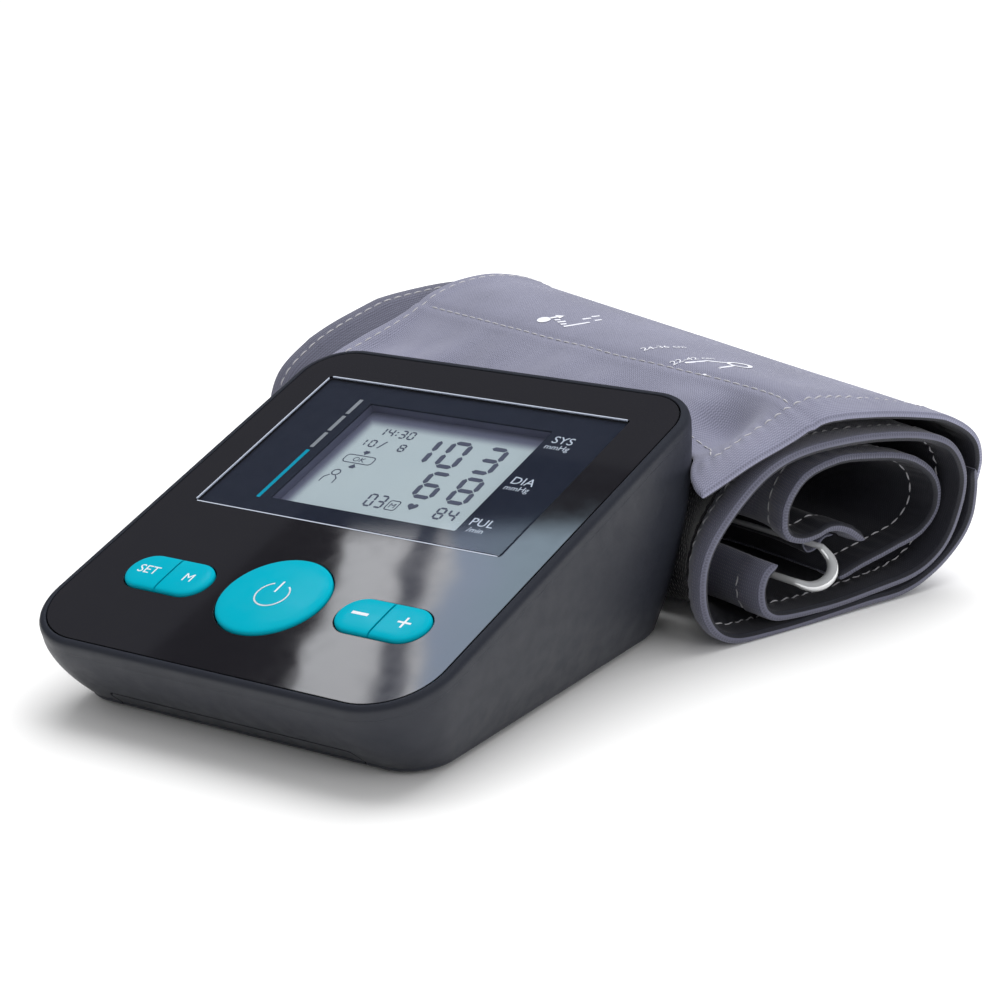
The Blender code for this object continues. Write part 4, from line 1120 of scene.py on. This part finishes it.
def flap_waves(s, a):
    """Soft folds down the front of the flap, almost none on its flat top."""
    front = 1 / (1 + np.exp(-(s - FLAP_CREASE - 6.0) / 3.0))
    folds = 2.4 * ripple(s, a, 40.0, 12.0, 3.1) + 1.3 * ripple(s, a, 14.0, 16.0, 8.4)
    calm = 0.35 * ripple(s, a, 30.0, 38.0, 5.5)
    pucker = 0.22 * np.sin(s * 2.0 + 1.2 * np.sin(s * 0.4)) * bell(a, -HEM, 2.6)
    seam = -0.35 * bell(s, FLAP_CREASE, 1.1)
    hollow = -3.6 * bell(a, -21.0, 9.0) * bell(s, FLAP_CREASE + 14.0, 8.0)
    return folds * front + calm + pucker + seam + hollow


def flap_droop(s, a):
    """The flap's free right edge hangs below the part that lies on the roll."""
    hang = 3.4 * np.clip(1.0 + a / 13.0, 0.0, 1.0) ** 1.6
    return -hang * np.clip((s - 22.0) / 30.0, 0.0, 1.0)


def arc_at(points, index):
    """Arc length of a curve at one of its control points."""
    path = Sheet.curve(points[:index + 2])[:index * 24 + 1]
    return float(np.hypot(*np.diff(path, axis=0).T).sum())


FLAP_CREASE = arc_at(FLAP_RIGHT, 7)    # the stitched crease along the flap's top
# The loop pad runs down the wrap's front past the real loop patch; its dark pile there is painted
# shade in the hollow by the monitor.
LOOP_SPAN, LOOP_HALF, LOOP_LIFT = (84.0, 134.0), 0.4, 1.4
HOOK_SPAN, HOOK_HALF, HOOK_LIFT = (60.0, 78.0), 0.45, -1.3
WRAP_HALF, COIL_HALF, FLAP_HALF, TAB_HALF = 0.85, 0.8, 0.75, 0.35   # half thicknesses
COIL_INSET = (6.0, 3.5)        # how far the coil's ends lie inside the wrap's, left and right


def cuff():
    left, right = -CUFF_LENGTH, 0.0
    wrap = Sheet(WRAP_RIGHT, WRAP_LEFT, (left, right), WRAP_HALF, wrap_waves,
                 edge_hem(right, left, 5.0), wrap_flare)
    wrap.inner = arc_at(WRAP_RIGHT, 24)
    wrap.mesh("cuff_wrap", [SHADED_WRAP_CLOTH, INNER_SHADE_CLOTH], "cuff", slot="cuff_fabric",
              stands_for=("cuff_outer_cover", "cuff_inner_cover", "cuff_bladder"))
    coil_left, coil_right = left + COIL_INSET[0], right - COIL_INSET[1]
    coil = Sheet(COIL_RIGHT, COIL_LEFT, (coil_left, coil_right), COIL_HALF, wrap_waves,
                 edge_hem(coil_right, coil_left, 5.0))
    coil.mesh("cuff_coil", [SHADED_WRAP_CLOTH, INNER_SHADE_CLOTH], "cuff", slot="cuff_fabric")
    Patch(wrap, LOOP_SPAN, (left + 12, right - 9), LOOP_HALF, LOOP_LIFT).mesh(
        "loop_pad_and_shade", [LOOP_PILE_AND_SHADE, LOOP_PILE_AND_SHADE], "cuff", stands_for=("loop_patch",), slot="loop_pile")
    for label, sheet, near in (("wrap", wrap, right - HEM), ("coil", coil, coil_right - HEM)):
        line = [(s, near) for s in np.linspace(3, sheet.length - 3, 60)]
        for face, side in (("outer", 1.0), ("inner", -1.0)):
            sew(f"{label}_stitches_{face}", sheet, line, side, "cuff")
    line = [(s, left + 3.1) for s in np.linspace(3, wrap.length - 3, 60)]
    sew("wrap_stitches_left", wrap, line, 1.0, "cuff")
    cuff_flap()
    ring()
    ring_tab()


def cuff_flap():
    flap = Sheet(FLAP_RIGHT, FLAP_LEFT, FLAP_ENDS, FLAP_HALF, flap_waves,
                 edge_hem(FLAP_ENDS[1], FLAP_ENDS[0], 4.2), flap_droop, outward=-1.0)
    cover = flap.mesh("flap_cover", [FABRIC, INNER_SHADE_CLOTH], None, slot="cuff_fabric",
                      stands_for=("cuff_flap",))
    ends = np.linspace(3, flap.length - 4, 60)
    hooks = Patch(flap, HOOK_SPAN, (FLAP_ENDS[0] + 10, FLAP_ENDS[1] - 12), HOOK_HALF, HOOK_LIFT)
    pieces = [cover, hooks.mesh("hook_pad", [HOOKS, HOOKS], None, stands_for=("hook_patch",),
                                slot="hook_patch")]
    pieces.append(sew("flap_stitches_right", flap, [(s, FLAP_ENDS[1] - HEM) for s in ends]))
    pieces.append(sew("flap_stitches_left", flap, [(s, FLAP_ENDS[0] + 2.6) for s in ends]))
    across = np.linspace(FLAP_ENDS[1] - 9.0, FLAP_ENDS[0] + 4.6, 60)
    pieces.append(sew("flap_seam", flap, [(FLAP_CREASE, a) for a in across]))
    pieces.append(sew("flap_front_stitches", flap, [(flap.length - 6.0, a) for a in across]))
    pieces += flap_printing(flap)
    for obj in pieces:
        bend(obj)


INK_THICK, INK_LIFT = 0.03, 0.11


def flap_printing(flap):
    """Generic printing on the flap's flat top: index arrow, text bars, size range, arm marks."""
    turn = math.radians(20.0)
    c, n = math.cos(turn), math.sin(turn)

    def printed(before_crease, centre_a):
        def where(x, y, up):
            s = FLAP_CREASE - before_crease - (x * c + y * n)
            return Vector(flap.points(s, centre_a + x * n - y * c, 1.0, up + INK_LIFT).tolist())
        return where
    arrow = [circle(-1.0, 0.0, 1.7, 20), box_outline(0.8, 2.6, -0.5, 0.5),
             [(2.6, -1.5), (4.6, 0.0), (2.6, 1.5)]]
    for row, reach in enumerate((12.0, 9.0, 11.0, 7.0)):
        y = -2.4 - 1.9 * row
        arrow.append(box_outline(1.0, 1.0 + reach, y, y + 0.8))
    marks = frame_shape(circle(0.0, 0.0, 2.6, 28), 0.9)
    for tilt in (-1.0, 1.0):
        line = [(-2.4, tilt * 1.6), (-7.0, tilt * 3.4), (-12.0, tilt * 4.2)]
        marks += frame_shape(line, 0.9)[:-1]
    pieces = [flat_shapes(name, shapes, 0.0, INK_THICK, printed(*place), INK, None)
              for name, shapes, place in (("index_marks", arrow, (7.0, -97.0)),
                                          ("artery_marks", marks, (13.0, -38.0)))]
    for name, text, place in (("range_small", "22-42 cm", (6.0, -46.0)),
                              ("range_large", "24-36 cm", (9.0, -58.0))):
        pieces.append(lettering(name, text, 3.0, (0.0, 0.0), 0.0, printed(*place), INK, None,
                                thick=INK_THICK))
    return pieces


def bend(obj):
    """Bakes a piece of the flap's placement into its mesh; the fold's axis and direction are worked
    out but the piece is not bent.
    """
    axis = Vector(JOINTS["flap_peel"]["axis"]).normalized()
    way = -ACROSS * 0.6 + Vector((0.0, 0.0, 0.8))
    way = (way - axis * way.dot(axis)).normalized()
    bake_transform(obj)


RING_BOW = ((25.4, 15.3), (26.6, 12.4), (25.8, 9.7), (23.4, 8.0), (20.8, 7.7), (18.4, 8.9))
RING_ENDS, RING_BULGE = ((-4.0, 1.0), (-145.5, -1.0)), 2.8
RING_THIN, RING_SWELL = 0.8, 0.55


def ring():
    """Bright ring: two bars along the roll and a bow at each end, thickest in its middle."""
    skew = -21.0 / CUFF_LENGTH
    bow = [(p.x, p.y) for p in smooth_path([(b, z, 0.0) for b, z in RING_BOW], 6)]
    path, radii = [], []
    for end, way in RING_ENDS:
        for i, (b, z) in enumerate(bow[::int(way)]):
            swell = math.sin(math.pi * i / (len(bow) - 1))
            a = end + way * RING_BULGE * swell
            path.append(on_cuff(a, b - skew * a, z))
            radii.append((RING_THIN + RING_SWELL * swell) * MM)
    rings = tube_rings(path + path[:1], radii + radii[:1], 20)[:-1]
    add_piece("chrome_ring", *skin(rings, close=True), CHROME, body="cuff_ring",
              stands_for=("cuff_ring",), slot="ring_chrome", smooth=80)


TAB = ((31.0, 17.4), (28.2, 18.0), (25.4, 17.6), (23.5, 15.6), (24.6, 13.2), (27.2, 13.3),
       (29.8, 15.3), (32.4, 15.4))
TAB_ENDS, TAB_SHIFT = (-142.0, -8.0), 20.0   # the shift is the roll's skew over its length


def ring_tab():
    """The cloth loop that holds the ring, sewn to the inner layer."""
    away = tuple((b - TAB_SHIFT, z) for b, z in TAB)
    tab = Sheet(TAB, away, TAB_ENDS, TAB_HALF)
    tab.mesh("ring_tab", [SHADED_WRAP_CLOTH, INNER_SHADE_CLOTH], "cuff", stands_for=("ring_sleeve",),
             slot="cuff_fabric")


# ---------------------------------------------------------------- finishes of CAD nodes

CAD_FINISHES = {
    BLACK: ("lcd_holder", "battery_bay", "hose_socket", "pressure_sensor"),
    CONNECTOR: ("lcd_connector_strip",), BOARD: ("main_board",),
    PUMP: ("pump_head", "air_manifold"), TUBE: ("tube_to_valve", "tube_to_socket", "tube_to_pump"),
    PLUG: ("cuff_air_port",),
}


def finish_nodes():
    """Gives every CAD node that is still shown its procedural material."""
    wanted = {node: mat for mat, nodes in CAD_FINISHES.items() for node in nodes}
    families = (("battery_contact", STEEL), ("battery_", CELL), ("case_screw", STEEL),
                ("rubber_foot", RUBBER), ("pump_motor", STEEL), ("release_valve", STEEL),
                ("ring_sleeve", FABRIC))
    for name, obj in frame["nodes"].items():
        mat = wanted.get(name)
        if mat is None and name.endswith("_switch"):
            mat = BLACK
        if mat is None:
            mat = next((m for start, m in families if name.startswith(start)), CASE)
        if not obj.material_slots:
            obj.data.materials.append(None)
        for item in obj.material_slots:
            item.link = "OBJECT"
            item.material = mat


# ---------------------------------------------------------------- studio

def area(name, place, target, size, power):
    data = bpy.data.lights.new(name, "AREA")
    data.shape, data.size, data.size_y = "RECTANGLE", size[0], size[1]
    data.energy = power
    obj = show(name, data)
    obj.location = place
    obj.rotation_euler = (Vector(target) - Vector(place)).to_track_quat("-Z", "Y").to_euler()
    return obj


CAMERA_PLACE = Vector((352.283, -461.546, 214.096))
CAMERA_TURN, CAMERA_TILT, CAMERA_ROLL = (math.radians(v) for v in (37.077, 18.196, -3.441))
CAMERA_LENS = 100.27


def camera():
    data = bpy.data.cameras.new("camera")
    data.lens, data.sensor_width = CAMERA_LENS, 36.0
    data.clip_start, data.clip_end = 0.02, 20.0
    obj = show("camera", data)
    a, e, roll = CAMERA_TURN, CAMERA_TILT, CAMERA_ROLL
    back = Vector((math.sin(a) * math.cos(e), -math.cos(a) * math.cos(e), math.sin(e)))
    right = (-back).cross(Vector((0, 0, 1))).normalized()
    up = right.cross(-back)
    x = right * math.cos(roll) + up * math.sin(roll)
    y = up * math.cos(roll) - right * math.sin(roll)
    place = CAMERA_PLACE * MM
    obj.matrix_world = Matrix(((x.x, y.x, back.x, place.x), (x.y, y.y, back.y, place.y),
                               (x.z, y.z, back.z, place.z), (0, 0, 0, 1)))
    bpy.context.scene.camera = obj


def floor():
    n = Nodes("studio_floor")
    n.surface(Base_Color=n.mix(n.noise(300.0), (0.90, 0.90, 0.90, 1.0), (0.91, 0.91, 0.91, 1.0)),
              Roughness=0.8, Specular_IOR_Level=0.0)
    half = 6.0
    corners = [(-half, -half, 0), (half, -half, 0), (half, half, 0), (-half, half, 0)]
    mesh = bpy.data.meshes.new("studio_floor")
    mesh.from_pydata(corners, [], [(0, 1, 2, 3)])
    mesh.materials.append(n.mat)
    show("studio_floor", mesh)


CARD_REACH = 700.0             # how far the mirrored card stands from the face
CARD_X, CARD_S = (-14, 62, 40), (-12, 84, 48)   # its span on the face, and points across it
CARD_STRENGTH = 4.2


def mirrored_card():
    """A soft-edged light card placed where the lower right of the glossy face mirrors it. Its uv
    map holds the place on the face, (x, s) in millimetres, that shows each of its points."""
    eye = CAMERA_PLACE * MM
    up = (on_face(0, 0, 1) - on_face(0, 0, 0)).normalized()
    mirrored = eye - up * 2 * (eye - on_face(0, 0, 0)).dot(up)
    xs, ss = np.linspace(*CARD_X), np.linspace(*CARD_S)
    verts, uv, faces = [], [], []
    for s in ss:
        for x in xs:
            spot = on_face(x, s, 0)
            verts.append(spot + (spot - mirrored).normalized() * CARD_REACH * MM)
            uv.append((x, s))
    for j in range(len(ss) - 1):
        for i in range(len(xs) - 1):
            at = j * len(xs) + i
            faces.append((at, at + 1, at + 1 + len(xs), at + len(xs)))
    mesh = bpy.data.meshes.new("light_card")
    mesh.from_pydata(verts, [], faces)
    map_corners(mesh, "place", uv)
    mesh.materials.append(card_glow())
    obj = show("light_card", mesh)
    obj.visible_camera = obj.visible_diffuse = obj.visible_shadow = False
    obj.visible_transmission = False


CARD_STOPS = ((0.0, (0, 0, 0)), (0.05, (0.88, 0.9, 0.94)), (0.36, (0.9, 0.91, 0.95)),
              (0.44, (0.10, 0.11, 0.14)), (0.52, (0.16, 0.17, 0.2)), (0.60, (0.85, 0.86, 0.9)),
              (0.70, (0.5, 0.6, 0.78)), (1.0, (0.46, 0.6, 0.72)))


def card_glow():
    n = Nodes("light_card")
    uv = n.add("ShaderNodeUVMap", uv_map="place").outputs["UV"]
    place = n.parts_of(uv)
    x, s = place["X"], place["Y"]
    lumps = n.add("ShaderNodeTexNoise", in_Scale=0.055, in_Detail=1.0, in_Vector=uv)
    sway = n.math("MULTIPLY", n.math("SUBTRACT", lumps.outputs["Fac"], 0.5), 16.0)
    across = n.math("ADD", n.math("ADD", x, n.math("MULTIPLY", s, 0.46)), -23.0)
    share = n.math("DIVIDE", n.math("ADD", across, sway), 44.0)
    ramp = n.add("ShaderNodeValToRGB")
    ramp.color_ramp.interpolation = "EASE"
    stops = ramp.color_ramp.elements
    while len(stops) < len(CARD_STOPS):
        stops.new(0.5)
    for stop, (position, color) in zip(stops, CARD_STOPS):
        stop.position, stop.color = position, (*color, 1.0)
    n.link(share, ramp.inputs["Fac"])
    top = n.add("ShaderNodeMapRange", in_From_Min=0.0, in_From_Max=10.0, in_To_Min=1.0,
                in_To_Max=0.0, interpolation_type="SMOOTHSTEP")
    level = n.math("SUBTRACT", s, n.math("ADD", n.math("MULTIPLY", x, 0.3), 44.0))
    n.link(level, top.inputs["Value"])
    glow = n.add("ShaderNodeEmission")
    n.feed(glow.inputs["Color"], ramp.outputs["Color"])
    n.feed(glow.inputs["Strength"], n.math("MULTIPLY", top.outputs["Result"], CARD_STRENGTH))
    n.link(glow.outputs[0], n.tree.nodes["Material Output"].inputs["Surface"])
    return n.mat


WORLD_LIGHT = (0.60, 0.60, 0.60, 1.0)
WORLD_MIRRORED = (0.10, 0.105, 0.12, 1.0)
WORLD_SEEN = (1.3, 1.3, 1.3, 1.0)
# place, target, size and power
LIGHTS = (("key_light", (-0.12, 0.48, 1.0), (0.0, 0.02, 0.0), (1.3, 1.3), 16.5),
          ("side_light", (0.95, -0.15, 0.35), (0.03, 0.02, 0.03), (0.5, 0.5), 2.2))


def studio():
    """Soft light, its own plain tone for reflections and for the camera, and a pale floor."""
    world = bpy.data.worlds.new("studio")
    bpy.context.scene.world = world
    world.use_nodes = True
    tree = world.node_tree
    rays = tree.nodes.new("ShaderNodeLightPath")
    tone = WORLD_LIGHT
    for ray, color in (("Is Glossy Ray", WORLD_MIRRORED), ("Is Camera Ray", WORLD_SEEN)):
        mix = tree.nodes.new("ShaderNodeMix")
        mix.data_type = "RGBA"
        mix.inputs[7].default_value = color
        tree.links.new(rays.outputs[ray], mix.inputs[0])
        if isinstance(tone, tuple):
            mix.inputs[6].default_value = tone
        else:
            tree.links.new(tone, mix.inputs[6])
        tone = mix.outputs[2]
    tree.links.new(tone, tree.nodes["Background"].inputs["Color"])
    for light in LIGHTS:
        area(*light).visible_glossy = False
    mirrored_card()
    floor()
    bpy.context.scene.view_settings.view_transform = "Standard"


case_body()
battery_door()
case_rim()
glossy_panel()
display()
buttons()
plug_and_hose()
cuff()
finish_nodes()
studio()
camera()
